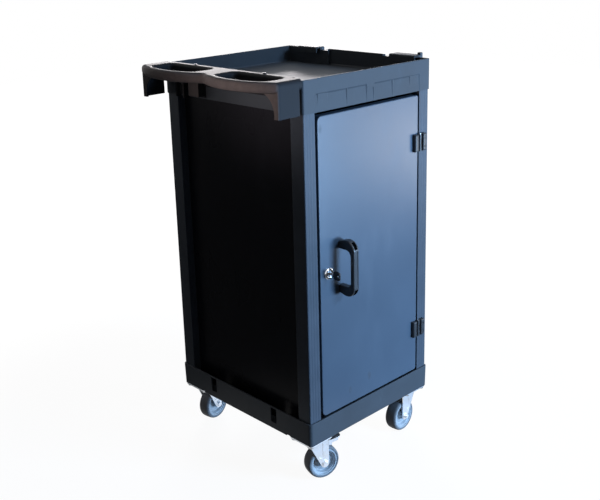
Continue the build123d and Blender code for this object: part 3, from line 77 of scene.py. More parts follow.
Colour = Tuple[float, float, float]
Value = Union["Term", float]
Point = Tuple[float, float, float]
# A pair of numbers, such as the levels at which a mask starts and ends its rise.
Pair = Tuple[float, float]

MM_PER_M = 1000.0
EVEN: Point = (1.0, 1.0, 1.0)
UPWARDS: Point = (0.0, 0.0, 1.0)
NOISE_MIDDLE = 0.5
BEVEL_SAMPLES = 4
EDGE_LEVELS: Pair = (0.02, 0.22)
# The colour sockets of a Mix node.
MIX_FACTOR, MIX_FIRST, MIX_SECOND, MIX_RESULT = 0, 6, 7, 2


@dataclass(frozen=True)
class Noise:
    """Cloudy noise on Object coordinates, whose values run from about 0.2 to 0.8.

    The scale is about how many clouds there are in a metre, the detail how many finer layers are
    added, rough how strong those are, and the stretch a share of the scale along each axis.
    """

    scale: float
    detail: float = 3.0
    rough: float = 0.5
    stretch: Point = EVEN


class Term:
    """A shader socket that takes part in Python arithmetic."""

    def __init__(self, graph: "Graph", socket: bpy.types.NodeSocket) -> None:
        """Keep the socket and the graph that new Math nodes go into."""
        self.graph = graph
        self.socket = socket

    def __add__(self, other: Value) -> "Term":
        """Sum with a term or a number."""
        return self.graph.math("ADD", self, other)

    def __radd__(self, other: float) -> "Term":
        """Sum with a number on the left."""
        return self.graph.math("ADD", other, self)

    def __sub__(self, other: Value) -> "Term":
        """Difference from a term or a number."""
        return self.graph.math("SUBTRACT", self, other)

    def __rsub__(self, other: float) -> "Term":
        """A number less this term."""
        return self.graph.math("SUBTRACT", other, self)

    def __mul__(self, other: Value) -> "Term":
        """Product with a term or a number."""
        return self.graph.math("MULTIPLY", self, other)

    def __rmul__(self, other: float) -> "Term":
        """Product with a number on the left."""
        return self.graph.math("MULTIPLY", other, self)

    def above(self, low: float, high: float) -> "Term":
        """Zero below one level and one above another, smooth between them.

        Args:
            low: level at which the result starts to rise.
            high: level at which it reaches one.

        Returns:
            A term from zero to one.
        """
        settings = {"interpolation_type": "SMOOTHSTEP"}
        sockets = {"Value": self, "From Min": low, "From Max": high}
        return self.graph.term(self.graph.add("ShaderNodeMapRange", settings, sockets))


class Graph:
    """The node tree of a material or of the world."""

    def __init__(self, owner: Union[bpy.types.Material, bpy.types.World]) -> None:
        """Start an empty tree on its owner."""
        owner.use_nodes = True
        self.tree = owner.node_tree
        self.tree.nodes.clear()

    def add(self, kind: str, settings: Optional[Dict[str, Any]] = None,
            sockets: Optional[Dict[Union[str, int], Any]] = None) -> bpy.types.Node:
        """Make any node: its settings first, then the values or links of its sockets.

        Args:
            kind: the node's type.
            settings: attributes of the node.
            sockets: a term to link or a value to set, by socket name or number.

        Returns:
            The new node.
        """
        node = self.tree.nodes.new(kind)
        for key, value in (settings or {}).items():
            setattr(node, key, value)
        for key, value in (sockets or {}).items():
            if isinstance(value, Term):
                self.tree.links.new(value.socket, node.inputs[key])
            else:
                node.inputs[key].default_value = value
        return node

    def term(self, node: bpy.types.Node, output: Union[str, int] = 0) -> Term:
        """One output of a node as a term."""
        return Term(self, node.outputs[output])

    def math(self, operation: str, *values: Value) -> Term:
        """One Math node on up to three values."""
        return self.term(self.add("ShaderNodeMath", {"operation": operation}, dict(enumerate(values))))

    def blend(self, factor: Value, first: Union[Term, Colour], second: Union[Term, Colour]) -> Term:
        """Colour between two colours.

        Args:
            factor: zero for the first colour and one for the second.
            first: a colour or a colour term.
            second: a colour or a colour term.

        Returns:
            The mixed colour.
        """
        pair = [c if isinstance(c, Term) else (*c, 1.0) for c in (first, second)]
        sockets = {MIX_FACTOR: factor, MIX_FIRST: pair[0], MIX_SECOND: pair[1]}
        return self.term(self.add("ShaderNodeMix", {"data_type": "RGBA"}, sockets), MIX_RESULT)

    def place(self, stretch: Point = EVEN) -> Term:
        """Object coordinates, stretched along each axis by a share."""
        spot = self.term(self.add("ShaderNodeTexCoord"), "Object")
        if stretch == EVEN:
            return spot
        settings = {"operation": "MULTIPLY"}
        return self.term(self.add("ShaderNodeVectorMath", settings, {0: spot, 1: stretch}))

    def noise(self, kind: Noise) -> Term:
        """Value of a noise at the surface."""
        sockets = {"Vector": self.place(kind.stretch), "Scale": kind.scale, "Detail": kind.detail,
                   "Roughness": kind.rough}
        return self.term(self.add("ShaderNodeTexNoise", None, sockets))

    def cells(self, scale: float) -> Term:
        """Distance to the nearest of a scatter of points, about so many in a metre."""
        return self.term(self.add("ShaderNodeTexVoronoi", None, {"Vector": self.place(), "Scale": scale}))

    def rounded(self, radius: float) -> Term:
        """Normal of the surface with its edges rounded to a radius in metres."""
        return self.term(self.add("ShaderNodeBevel", {"samples": BEVEL_SAMPLES}, {"Radius": radius}))

    def edge(self, radius: float) -> Term:
        """Mask of the edges: one less the agreement of a rounded normal with the true one, made stronger.

        Args:
            radius: how far from an edge the mask reaches, in metres.

        Returns:
            A term from zero on a flat to one on an edge.
        """
        sockets = {0: self.rounded(radius), 1: self.term(self.add("ShaderNodeNewGeometry"), "True Normal")}
        agree = self.term(self.add("ShaderNodeVectorMath", {"operation": "DOT_PRODUCT"}, sockets), "Value")
        return (1 - agree).above(*EDGE_LEVELS)

    def relief(self, height: Term, depth: float, radius: float = 0.0) -> Term:
        """Bumped normal from a height, over edges that are rounded a little.

        Args:
            height: the surface's height from zero to one.
            depth: the height in metres that one stands for.
            radius: radius of the softened edges in metres, or zero.

        Returns:
            The normal.
        """
        sockets: Dict[Union[str, int], Any] = {"Strength": 1.0, "Distance": depth, "Height": height}
        if radius:
            sockets["Normal"] = self.rounded(radius)
        return self.term(self.add("ShaderNodeBump", None, sockets))


@dataclass(frozen=True)
class Finish:
    """What every finish has: a name, a colour, and how it takes the light."""

    name: str
    tone: Colour
    roughness: float
    specular: float = 0.4
    soft_edge: float = 0.0006

    def shaded(self, share: float) -> Colour:
        """The tone made lighter or darker by a share."""
        return tuple(min(1.0, share * c) for c in self.tone)

    def clouded(self, graph: Graph, cloud: Term, levels: Pair, shades: Pair) -> Term:
        """Tone that follows a cloud from a darker shade to a lighter one.

        Args:
            graph: the finish's node tree.
            cloud: the noise that it follows.
            levels: values of the noise at which the two shades are reached.
            shades: the two shares of the tone.

        Returns:
            The colour.
        """
        return graph.blend(cloud.above(*levels), *(self.shaded(share) for share in shades))

    def fixed(self) -> Dict[str, float]:
        """Shader values that are the same all over the surface."""
        return {"Specular IOR Level": self.specular}

    def surface(self, graph: Graph) -> Dict[str, Term]:
        """Shader values that change over the surface, by socket name."""
        raise NotImplementedError

    def material(self) -> bpy.types.Material:
        """The finish's material, made once."""
        made = bpy.data.materials.get(self.name)
        if made is None:
            made = bpy.data.materials.new(self.name)
            graph = Graph(made)
            sockets = {**self.fixed(), **self.surface(graph)}
            shader = graph.add("ShaderNodeBsdfPrincipled", None, sockets)
            graph.add("ShaderNodeOutputMaterial", None, {"Surface": graph.term(shader)})
        return made

    def coat(self, *names: str) -> None:
        """Put the finish on CAD nodes."""
        for name in names:
            self.dress(frame["nodes"][name])

    def dress(self, piece: bpy.types.Object) -> None:
        """Put the finish on one object, in place of what is there."""
        piece.data.materials.clear()
        piece.data.materials.append(self.material())
        LOG.info("%s: %s", piece.name, self.name)


@dataclass(frozen=True)
class MouldedPlastic(Finish):
    """Moulded plastic: spark grain, cloudy flow of tone, pale scuffs and rubbed edges."""

    grain: float = 1100.0
    grain_depth: float = 0.00005
    cell_share: float = 0.7
    fine_scale: float = 0.45
    fine_share: float = 0.6
    flow: Noise = Noise(7.0, 4.0, 0.55)
    flow_levels: Pair = (0.25, 0.75)
    flow_shades: Pair = (0.86, 1.12)
    flow_rough: float = 0.22
    fleck: Noise = Noise(520.0, 2.0)
    fleck_levels: Pair = (0.58, 0.8)
    fleck_share: float = 0.35
    fleck_shade: float = 1.5
    scuff: float = 0.25
    scuffs: Noise = Noise(34.0, 6.0, 0.68, (1.0, 1.0, 0.25))
    scuff_levels: Pair = (0.6, 0.78)
    scuff_shade: float = 2.0
    scuff_rough: float = 0.08
    rub: float = 0.5
    rub_reach: float = 0.0016
    rubs: Noise = Noise(70.0, 4.0, 0.6)
    rub_levels: Pair = (0.38, 0.66)
    rub_shade: float = 2.6
    rub_smooth: float = 0.08

    def surface(self, graph: Graph) -> Dict[str, Term]:
        """Tone, roughness and grain of the moulding."""
        cloud = graph.noise(self.flow)
        fleck = graph.noise(self.fleck).above(*self.fleck_levels)
        streak = graph.noise(self.scuffs).above(*self.scuff_levels)
        rubbed = graph.edge(self.rub_reach) * graph.noise(self.rubs).above(*self.rub_levels)
        tone = self.clouded(graph, cloud, self.flow_levels, self.flow_shades)
        tone = graph.blend(fleck * self.fleck_share, tone, self.shaded(self.fleck_shade))
        tone = graph.blend(streak * self.scuff, tone, self.shaded(self.scuff_shade))
        tone = graph.blend(rubbed * self.rub, tone, self.shaded(self.rub_shade))
        rough = self.roughness + (cloud - NOISE_MIDDLE) * self.flow_rough
        rough = rough + streak * self.scuff_rough - rubbed * self.rub_smooth
        fine = graph.noise(Noise(self.grain * self.fine_scale))
        height = graph.cells(self.grain) * self.cell_share + fine * self.fine_share
        normal = graph.relief(height, self.grain_depth, self.soft_edge)
        return {"Base Color": tone, "Roughness": rough, "Normal": normal}


@dataclass(frozen=True)
class PaintedLightPlastic(MouldedPlastic):
    """Moulded plastic with painted light: the faces turned to -X that stand out past the tray's end are
    painted pale and warm, as if a lamp lit them from that side.
    """

    lit_tone: Colour = (0.14, 0.122, 0.118)
    lit_facing: Pair = (0.15, 0.8)
    lit_ahead: Pair = (0.180, 0.187)
    lit_least: float = 0.55
    lit_swing: float = 0.7
    lit_patches: Noise = Noise(60.0, 5.0, 0.65)

    def surface(self, graph: Graph) -> Dict[str, Term]:
        """The moulding's tone with painted light: paler and warmer where a face looks along -X and stands
        out past the tray's end.
        """
        sockets = super().surface(graph)
        normal = graph.term(graph.add("ShaderNodeNewGeometry"), "Normal")
        turned_to = graph.term(graph.add("ShaderNodeSeparateXYZ", None, {0: normal}), "X")
        ahead = graph.term(graph.add("ShaderNodeSeparateXYZ", None, {0: graph.place()}), "X")
        # Painted light: faces turned to -X, past the tray's end, are lightened to a warm tone in patches.
        facing = (0 - turned_to).above(*self.lit_facing)
        reach = (0 - ahead).above(*self.lit_ahead)
        patchy = self.lit_least + graph.noise(self.lit_patches) * self.lit_swing
        sockets["Base Color"] = graph.blend(facing * reach * patchy, sockets["Base Color"], self.lit_tone)
        return sockets


@dataclass(frozen=True)
class PowderCoat(Finish):
    """Powder-coated sheet steel: orange peel, faint wipe marks and edges where the coat is thin."""

    peel: float = 480.0
    peel_depth: float = 0.00006
    fine_scale: float = 2.7
    fine_share: float = 0.35
    flow: Noise = Noise(3.2)
    flow_levels: Pair = (0.25, 0.75)
    flow_shades: Pair = (0.92, 1.08)
    flow_rough: float = 0.1
    speck: Noise = Noise(900.0, 1.0)
    speck_levels: Pair = (0.62, 0.8)
    speck_share: float = 0.3
    speck_shade: float = 1.45
    wipes: Noise = Noise(11.0, 5.0, 0.62, (1.0, 1.0, 0.3))
    wipe_levels: Pair = (0.5, 0.78)
    wipe_share: float = 0.12
    wipe_shade: float = 1.6
    wipe_rough: float = 0.07
    rub: float = 0.45
    rub_reach: float = 0.0012
    rubs: Noise = Noise(120.0, 4.0, 0.65)
    rub_levels: Pair = (0.42, 0.7)
    rub_shade: float = 2.3
    rub_smooth: float = 0.06

    def surface(self, graph: Graph) -> Dict[str, Term]:
        """Tone, roughness and orange peel of the coat."""
        cloud = graph.noise(self.flow)
        wipe = graph.noise(self.wipes).above(*self.wipe_levels)
        speck = graph.noise(self.speck).above(*self.speck_levels)
        thin = graph.edge(self.rub_reach) * graph.noise(self.rubs).above(*self.rub_levels)
        tone = self.clouded(graph, cloud, self.flow_levels, self.flow_shades)
        tone = graph.blend(speck * self.speck_share, tone, self.shaded(self.speck_shade))
        tone = graph.blend(wipe * self.wipe_share, tone, self.shaded(self.wipe_shade))
        tone = graph.blend(thin * self.rub, tone, self.shaded(self.rub_shade))
        rough = self.roughness + (cloud - NOISE_MIDDLE) * self.flow_rough
        rough = rough + wipe * self.wipe_rough - thin * self.rub_smooth
        fine = graph.noise(Noise(self.peel * self.fine_scale, detail=1.0))
        height = graph.noise(Noise(self.peel, detail=2.0, rough=0.45)) + fine * self.fine_share
        normal = graph.relief(height, self.peel_depth, self.soft_edge)
        return {"Base Color": tone, "Roughness": rough, "Normal": normal}


@dataclass(frozen=True)
class MarkedCoat(PowderCoat):
    """Powder coat with a few small dark marks, each given by its X, its Z and its size in metres."""

    marks: Tuple[Point, ...] = ()
    mark_squash: float = 0.55
    mark_core: float = 0.35
    mark_share: float = 0.6
    mark_shade: float = 0.4
    mark_rough: float = 0.2
    mark_breaks: Noise = Noise(160.0, 4.0, 0.6)
    break_levels: Pair = (0.25, 0.6)

    def surface(self, graph: Graph) -> Dict[str, Term]:
        """The coat's tone, darker and duller inside the marks, which noise breaks up."""
        sockets = super().surface(graph)
        broken = graph.noise(self.mark_breaks).above(*self.break_levels)
        squash = self.mark_squash
        for x, z, size in self.marks:
            away = {0: graph.place((1.0, 0.0, squash)), 1: (x, 0.0, squash * z)}
            gap = graph.term(graph.add("ShaderNodeVectorMath", {"operation": "DISTANCE"}, away), "Value")
            mark = (1 - gap.above(self.mark_core * size, size)) * broken
            dark = self.shaded(self.mark_shade)
            sockets["Base Color"] = graph.blend(mark * self.mark_share, sockets["Base Color"], dark)
            sockets["Roughness"] = sockets["Roughness"] + mark * self.mark_rough
        return sockets


@dataclass(frozen=True)
class Plating(Finish):
    """Bright plated steel: cloudy passivation, fine drawing lines, dull patches and bright edges."""

    lines: Point = (1.0, 1.0, 0.12)
    line_scale: float = 700.0
    line_depth: float = 0.00002
    line_rough: float = 0.12
    clouds: Noise = Noise(42.0, 5.0, 0.6)
    cloud_levels: Pair = (0.3, 0.7)
    cloud_shade: float = 0.9
    cloud_height: float = 0.5
    cool: Colour = (0.94, 0.98, 1.05)
    dull: float = 0.16
    patches: Noise = Noise(120.0, 4.0, 0.65)
    patch_levels: Pair = (0.55, 0.75)
    patch_share: float = 0.3
    patch_shade: float = 0.7
    bright_reach: float = 0.0008
    bright_share: float = 0.4
    bright_shade: float = 1.2
    bright_smooth: float = 0.05

    def fixed(self) -> Dict[str, float]:
        """Shader values that are the same all over the metal."""
        return {**super().fixed(), "Metallic": 1.0}

    def surface(self, graph: Graph) -> Dict[str, Term]:
        """Tone, roughness and drawing lines of the plating."""
        cloud = graph.noise(self.clouds)
        patch = graph.noise(self.patches).above(*self.patch_levels)
        drawn = graph.noise(Noise(self.line_scale, detail=2.0, stretch=self.lines))
        bright = graph.edge(self.bright_reach)
        cool = tuple(min(1.0, share * c) for share, c in zip(self.cool, self.tone))
        tone = graph.blend(cloud.above(*self.cloud_levels), self.shaded(self.cloud_shade), cool)
        tone = graph.blend(patch * self.patch_share, tone, self.shaded(self.patch_shade))
        tone = graph.blend(bright * self.bright_share, tone, self.shaded(self.bright_shade))
        rough = self.roughness + patch * self.dull
        rough = rough + (drawn - NOISE_MIDDLE) * self.line_rough - bright * self.bright_smooth
        normal = graph.relief(drawn + cloud * self.cloud_height, self.line_depth, self.soft_edge)
        return {"Base Color": tone, "Roughness": rough, "Normal": normal}


@dataclass(frozen=True)
class WheelGrey(Finish):
    """Grey wheel plastic or tread rubber: mottled tone, road dust in patches and small nicks."""

    mottle: Noise = Noise(60.0, 4.0, 0.55)
    mottle_levels: Pair = (0.28, 0.72)
    mottle_shades: Pair = (0.88, 1.1)
    mottle_rough: float = 0.15
    mottle_height: float = 0.4
    dust: Colour = (0.3, 0.28, 0.26)
    dusty: float = 0.3
    dust_patches: Noise = Noise(48.0, 6.0, 0.7)
    dust_levels: Pair = (0.48, 0.74)
    dust_rough: float = 0.12
    nicks: Noise = Noise(420.0, 3.0, 0.6)
    nick_levels: Pair = (0.66, 0.8)
    nick_share: float = 0.4
    nick_shade: float = 0.6
    nick_depth: float = 0.00008

    def surface(self, graph: Graph) -> Dict[str, Term]:
        """Tone, roughness and nicks of the wheel."""
        cloud = graph.noise(self.mottle)
        dust = graph.noise(self.dust_patches).above(*self.dust_levels)
        nick = graph.noise(self.nicks)
        nicked = nick.above(*self.nick_levels) * self.nick_share
        tone = self.clouded(graph, cloud, self.mottle_levels, self.mottle_shades)
        tone = graph.blend(dust * self.dusty, tone, self.dust)
        tone = graph.blend(nicked, tone, self.shaded(self.nick_shade))
        rough = self.roughness + (cloud - NOISE_MIDDLE) * self.mottle_rough + dust * self.dust_rough
        normal = graph.relief(nick + cloud * self.mottle_height, self.nick_depth, self.soft_edge)
        return {"Base Color": tone, "Roughness": rough, "Normal": normal}


MOULDED_BLACK = MouldedPlastic("cart_moulded_black", (0.052, 0.06, 0.07), 0.52, 0.16)
# Painted shade: the handle's tone is darker than the other mouldings, and its -X faces get painted light.
HANDLE_BLACK = PaintedLightPlastic("cart_handle_black", (0.02, 0.021, 0.024), 0.52, 0.065)
POST_BLACK = MouldedPlastic("cart_post_black", (0.058, 0.07, 0.088), 0.42, 0.15, 0.0022,
                            grain=1500.0, scuff=0.15)
PULL_BLACK = MouldedPlastic("cart_pull_black", (0.03, 0.032, 0.036), 0.34, 0.4, grain=1700.0)
HINGE_BLACK = MouldedPlastic("cart_hinge_black", (0.028, 0.03, 0.034), 0.4, 0.4, grain=1700.0)
KEY_BLACK = MouldedPlastic("cart_key_black", (0.02, 0.02, 0.022), 0.3, 0.4, grain=2200.0)
DOOR_MARKS = ((-0.117, 0.822, 0.0075), (-0.140, 0.816, 0.0065), (-0.125, 0.797, 0.0045),
              (0.0305, 0.212, 0.0075), (-0.0345, 0.1995, 0.006))
# The door paint and the panel paint stand for one black powder coat: the door's lighter, bluer tone is
# partly painted cool light, and the panels' near-black tone is painted shade.
DOOR_PAINT = MarkedCoat("cart_door_paint", (0.066, 0.09, 0.122), 0.3, 0.38, marks=DOOR_MARKS)
PANEL_PAINT = PowderCoat("cart_panel_paint", (0.02, 0.02, 0.025), 0.28, 0.06)
BLACK_SCREWS = PowderCoat("cart_black_screws", (0.03, 0.031, 0.034), 0.35, 0.5, peel=1500.0)
CASTER_ZINC = Plating("cart_caster_zinc", (0.8, 0.82, 0.84), 0.42)
ZINC_SCREWS = Plating("cart_zinc_screws", (0.62, 0.63, 0.64), 0.3, line_scale=1600.0)
LOCK_CHROME = Plating("cart_lock_chrome", (0.78, 0.79, 0.8), 0.12, dull=0.08, line_scale=1400.0)
LOCK_STEEL = Plating("cart_lock_steel", (0.5, 0.5, 0.5), 0.28, line_scale=1200.0)
WHEEL_CORE = WheelGrey("cart_wheel_grey", (0.37, 0.4, 0.43), 0.42, 0.45)
TREAD_GREY = WheelGrey("cart_tyre_grey", (0.15, 0.157, 0.17), 0.6, 0.3, dusty=0.25)


def grid_piece(name: str, points: np.ndarray) -> bpy.types.Object:
    """Object whose faces join a grid of points, row to row and column to column, closed both ways.

    Args:
        name: name of the object.
        points: array of rows by columns by three.

    Returns:
        A smooth mesh object at the origin, its faces outwards.
    """
    rows, columns = points.shape[:2]
    index = np.arange(rows * columns).reshape(rows, columns)
    index = np.hstack([index, index[:, :1]])
    index = np.vstack([index, index[:1]])
    corners = [index[:-1, :-1], index[1:, :-1], index[1:, 1:], index[:-1, 1:]]
    quads = np.stack(corners, axis=-1).reshape(-1, 4)
    flat = points.reshape(-1, 3)
    first, second, third, fourth = (flat[quads[:, i]] for i in range(4))
    middle = (first + second + third + fourth) / 4 - flat.mean(0)
    volume = np.einsum("ij,ij->", middle, np.cross(third - first, fourth - second))
    if volume < 0:
        quads = quads[:, ::-1]
    mesh = bpy.data.meshes.new(name)
    mesh.from_pydata(flat.tolist(), [], quads.tolist())
    mesh.polygons.foreach_set("use_smooth", np.ones(len(quads), bool))
    mesh.update()
    piece = bpy.data.objects.new(name, mesh)
    bpy.context.scene.collection.objects.link(piece)
    return piece


def softened(corners: Sequence[Point], steps: int = 6) -> np.ndarray:
    """Closed outline with rounded corners.

    Each corner becomes a parabola that starts and ends at its reach along the two sides that meet
    there, with the corner as its control point: (1-t)^2 start + 2t(1-t) corner + t^2 end.

    Args:
        corners: radius, place along the axis and reach of the rounding of each corner, in millimetres.
        steps: points on each rounding.

    Returns:
        Array of points by two, in metres.
    """
    data = np.array(corners, float) / MM_PER_M
    spot, reach = data[:, :2], data[:, 2:]
    before, after = np.roll(spot, 1, 0) - spot, np.roll(spot, -1, 0) - spot
    start = spot + reach * before / np.linalg.norm(before, axis=1, keepdims=True)
    end = spot + reach * after / np.linalg.norm(after, axis=1, keepdims=True)
    t = np.linspace(0, 1, steps)[None, :, None]
    curve = (1 - t) ** 2 * start[:, None] + 2 * t * (1 - t) * spot[:, None] + t ** 2 * end[:, None]
    return curve.reshape(-1, 2)


def mirrored(half: Sequence[Point]) -> np.ndarray:
    """Closed outline of a half and its mirror image across place zero, with rounded corners."""
    other = [(radius, -place, reach) for radius, place, reach in reversed(half)]
    return softened([*half, *other])


def turned(name: str, outline: np.ndarray, centre: Vector, axis: Vector,
           segments: int = 96) -> bpy.types.Object:
    """Surface of revolution: each outline point goes round the axis at its own radius.

    A point at radius r and place a is centre + a axis + r (cos u across + sin u third), with u the
    angle of the column and the two other directions square to the axis, which isn't upright.

    Args:
        name: name of the object.
        outline: closed outline, points by radius and place along the axis.
        centre: point on the axis at place zero.
        axis: direction of the axis.
        segments: columns round the axis.

    Returns:
        The turned object.
    """
    along = np.array(axis.normalized())
    across = np.cross(along, UPWARDS)
    across /= np.linalg.norm(across)
    third = np.cross(along, across)
    u = np.linspace(0, 2 * np.pi, segments, endpoint=False)[None, :, None]
    radius, place = outline[:, None, :1], outline[:, None, 1:]
    points = np.array(centre) + place * along + radius * (np.cos(u) * across + np.sin(u) * third)
    return grid_piece(name, points)


def adopt(piece: bpy.types.Object, node: str, finish: Finish) -> None:
    """Let a piece stand for a CAD node: it takes the node's body, the node is hidden, and it gets its own
    finish.

    Args:
        piece: the new piece, in place.
        node: name of the node that it replaces.
        finish: what it is made of.
    """
    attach(piece, frame["nodes"][node]["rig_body"])
    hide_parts(node)
    finish.dress(piece)


def joint(name: str) -> Tuple[Vector, Vector]:
    """Place and axis of a joint of the frame."""
    found = next(j for j in frame["joints"] if j["name"] == name)
    return Vector(found["pos_m"]), Vector(found["axis"])


class Corner(Enum):
    """The four corners of the cart."""

    FRONT_LEFT = "front_left"
    FRONT_RIGHT = "front_right"
    BACK_LEFT = "back_left"
    BACK_RIGHT = "back_right"


@dataclass
class Caster:
    """One swivel caster: zinc plate and fork, grey wheel with a dished web, and a soft tread."""

    corner: Corner
    braked: bool = False
    bore: float = 6.2
    hub: float = 11.0
    hub_half: float = 16.0
    web_half: float = 4.0
    rim_in: float = 27.5
    rim_out: float = 33.0
    rim_half: float = 14.2
    rim_step: float = 2.2
    tread: float = 40.0
    tread_half: float = 15.0
    crown_half: float = 4.0
    tread_gap: float = 0.05
    tread_segments: int = 128

    def node(self, part: str) -> str:
        """Name of one of the caster's CAD nodes."""
        return f"{part}_{self.corner.value}"

    def wheel_outline(self) -> np.ndarray:
        """Outline of the wheel: bore, hub, dished web, inner step and rim.

        Each corner is its radius, its place along the axle and the reach of its rounding, in millimetres.
        """
        return mirrored([
            (self.bore, self.hub_half - 0.6, 0.4), (self.bore + 0.8, self.hub_half, 0.4),
            (self.hub - 0.8, self.hub_half, 1.2), (self.hub + 0.6, self.web_half + 1.2, 2.0),
            (self.rim_in - 4.5, self.web_half, 3.0),
            (self.rim_in - 0.6, self.rim_half - self.rim_step - 0.4, 1.4),
            (self.rim_in + 1.6, self.rim_half - self.rim_step, 0.5),
            (self.rim_in + 2.2, self.rim_half, 0.8), (self.rim_out, self.rim_half, 0.6),
        ])

    def tread_outline(self) -> np.ndarray:
        """Outline of the tread: a bead on the rim, a full side wall and a slightly crowned face.

        Each corner is its radius, its place along the axle and the reach of its rounding, in millimetres.
        """
        return mirrored([
            (self.rim_out + self.tread_gap, self.tread_half - 1.2, 0.3),
            (self.rim_out + 1.4, self.tread_half, 0.7),
            (self.tread - 3.0, self.tread_half - 0.2, 1.5), (self.tread - 0.5, self.tread_half - 3.6, 2.6),
            (self.tread, self.crown_half, 2.0),
        ])

    def build(self) -> None:
        """Turn the wheel and its tread about the axle and dress the metal."""
        centre, axis = joint(self.node("roll"))
        wheel = turned(self.node("wheel"), self.wheel_outline(), centre, axis)
        adopt(wheel, self.node("caster_wheel"), WHEEL_CORE)
        tread = turned(self.node("tread"), self.tread_outline(), centre, axis, self.tread_segments)
        adopt(tread, self.node("caster_tyre"), TREAD_GREY)
        CASTER_ZINC.coat(*(self.node(part) for part in ("caster_plate", "caster_fork", "caster_axle")))
        if self.braked:
            CASTER_ZINC.coat(self.node("brake_pedal"))


@dataclass
class Cabinet:
    """Base tray, posts, panels, top tray and what is fixed to the tray."""

    moulded: Tuple[str, ...] = ("base_tray", "top_tray", "cord_hook_front", "cord_hook_back")
    handles: Tuple[str, ...] = ("push_handle", "tool_holder")
    sheets: Tuple[str, ...] = ("handle_end_panel", "far_end_panel", "back_panel")
    zinc: Tuple[str, ...] = ("kingpins", "swivel_balls")

    def build(self) -> None:
        """Dress the mouldings, the posts, the panels and the screws."""
        MOULDED_BLACK.coat(*self.moulded)
        HANDLE_BLACK.coat(*self.handles)
        PANEL_PAINT.coat(*self.sheets)
        POST_BLACK.coat(*(f"post_{corner.value}" for corner in Corner))
        BLACK_SCREWS.coat("tray_screws")
        ZINC_SCREWS.coat("caster_bolts")
        CASTER_ZINC.coat(*self.zinc)


@dataclass
class Door:
    """Door sheet with its pull, hinges, lock and key."""

    hinges: Tuple[str, ...] = ("upper", "lower")
    lock_parts: Tuple[str, ...] = ("lock_nut", "lock_plug", "lock_cam", "key_blade", "strike_plate")
    flange: float = 13.0
    flange_proud: float = 3.5
    flange_dome: float = 1.6
    flange_seat: float = 0.05
    barrel: float = 9.5
    plug: float = 6.1
    groove: Pair = (0.5, 1.8)
    groove_depth: float = 0.7
    groove_slope: float = 0.8
    plug_depth: float = 1.2

    def rosette_outline(self) -> np.ndarray:
        """Outline of the lock housing: barrel, flange, domed rim, groove and the step at the plug.

        Each corner is its radius, its place along the lock and the reach of its rounding, in millimetres.
        """
        low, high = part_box("lock_body")
        back = MM_PER_M * (high.y - low.y) - self.flange_proud
        front = -self.flange_proud
        inner, outer = (self.plug + radius for radius in self.groove)
        return softened([
            (self.plug, back, 0.3), (self.barrel, back, 0.3), (self.barrel, self.flange_seat, 0.2),
            (self.flange, self.flange_seat, 0.3), (self.flange, -self.flange_dome, 0.9),
            (self.flange - self.flange_dome, front, 1.2), (outer + self.groove_slope, front, 0.4),
            (outer, front + self.groove_depth, 0.3), (inner, front + self.groove_depth, 0.3),
            (self.plug, front + self.plug_depth, 0.2),
        ])

    def build(self) -> None:
        """Dress the door and its fittings, and turn the lock's rosette."""
        DOOR_PAINT.coat("door")
        PULL_BLACK.coat("pull_handle")
        KEY_BLACK.coat("key_bow")
        for hinge in self.hinges:
            HINGE_BLACK.coat(f"hinge_{hinge}_post_leaf", f"hinge_{hinge}_door_leaf")
            LOCK_STEEL.coat(f"hinge_{hinge}_pin")
        LOCK_STEEL.coat(*self.lock_parts)
        ZINC_SCREWS.coat("pull_screws", "cam_screw", "strike_screws", "hinge_screws_door")
        BLACK_SCREWS.coat("hinge_screws_post")
        low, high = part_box("lock_body")
        centre = (low + high) / 2
        centre.y = low.y + self.flange_proud / MM_PER_M
        rosette = turned("lock_rosette", self.rosette_outline(), centre, Vector((0, 1, 0)))
        adopt(rosette, "lock_body", LOCK_CHROME)


class Ray(Enum):
    """Kinds of ray that see the floor and the surround, as a Light Path node names them."""

    CAMERA = "Is Camera Ray"
    MIRROR = "Is Glossy Ray"
    GLASS = "Is Transmission Ray"

    @staticmethod
    def among(graph: Graph, *kinds: "Ray") -> Term:
        """One on a ray of any of the given kinds and zero on others."""
        path = graph.add("ShaderNodeLightPath")
        terms = [graph.term(path, kind.value) for kind in kinds]
        return reduce(lambda first, second: graph.math("MAXIMUM", first, second), terms)


COOL_LIGHT: Colour = (0.6, 1.0, 1.55)
WHITE_LIGHT: Colour = (1.0, 1.0, 1.0)
PALE_LIGHT: Colour = (1.0, 0.95, 0.96)
WARM_LIGHT: Colour = (1.0, 0.84, 0.82)


@dataclass
class Lamp:
    """One soft box of the studio: where it hangs, what it is turned to, its size and its light."""

    name: str
    place: Point
    aim: Point
    size: Pair
    power: float
    colour: Colour
    spread: float = 180.0

    def build(self) -> None:
        """Hang the lamp and turn it to what it lights."""
        light = bpy.data.lights.new(self.name, "AREA")
        light.shape = "RECTANGLE"
        light.size, light.size_y = self.size
        light.energy = self.power
        light.color = self.colour
        light.spread = math.radians(self.spread)
        lamp = bpy.data.objects.new(self.name, light)
        lamp.location = self.place
        beam = Vector(self.aim) - Vector(self.place)
        lamp.rotation_euler = beam.to_track_quat("-Z", "Y").to_euler()
        lamp.visible_camera = False
        bpy.context.scene.collection.objects.link(lamp)


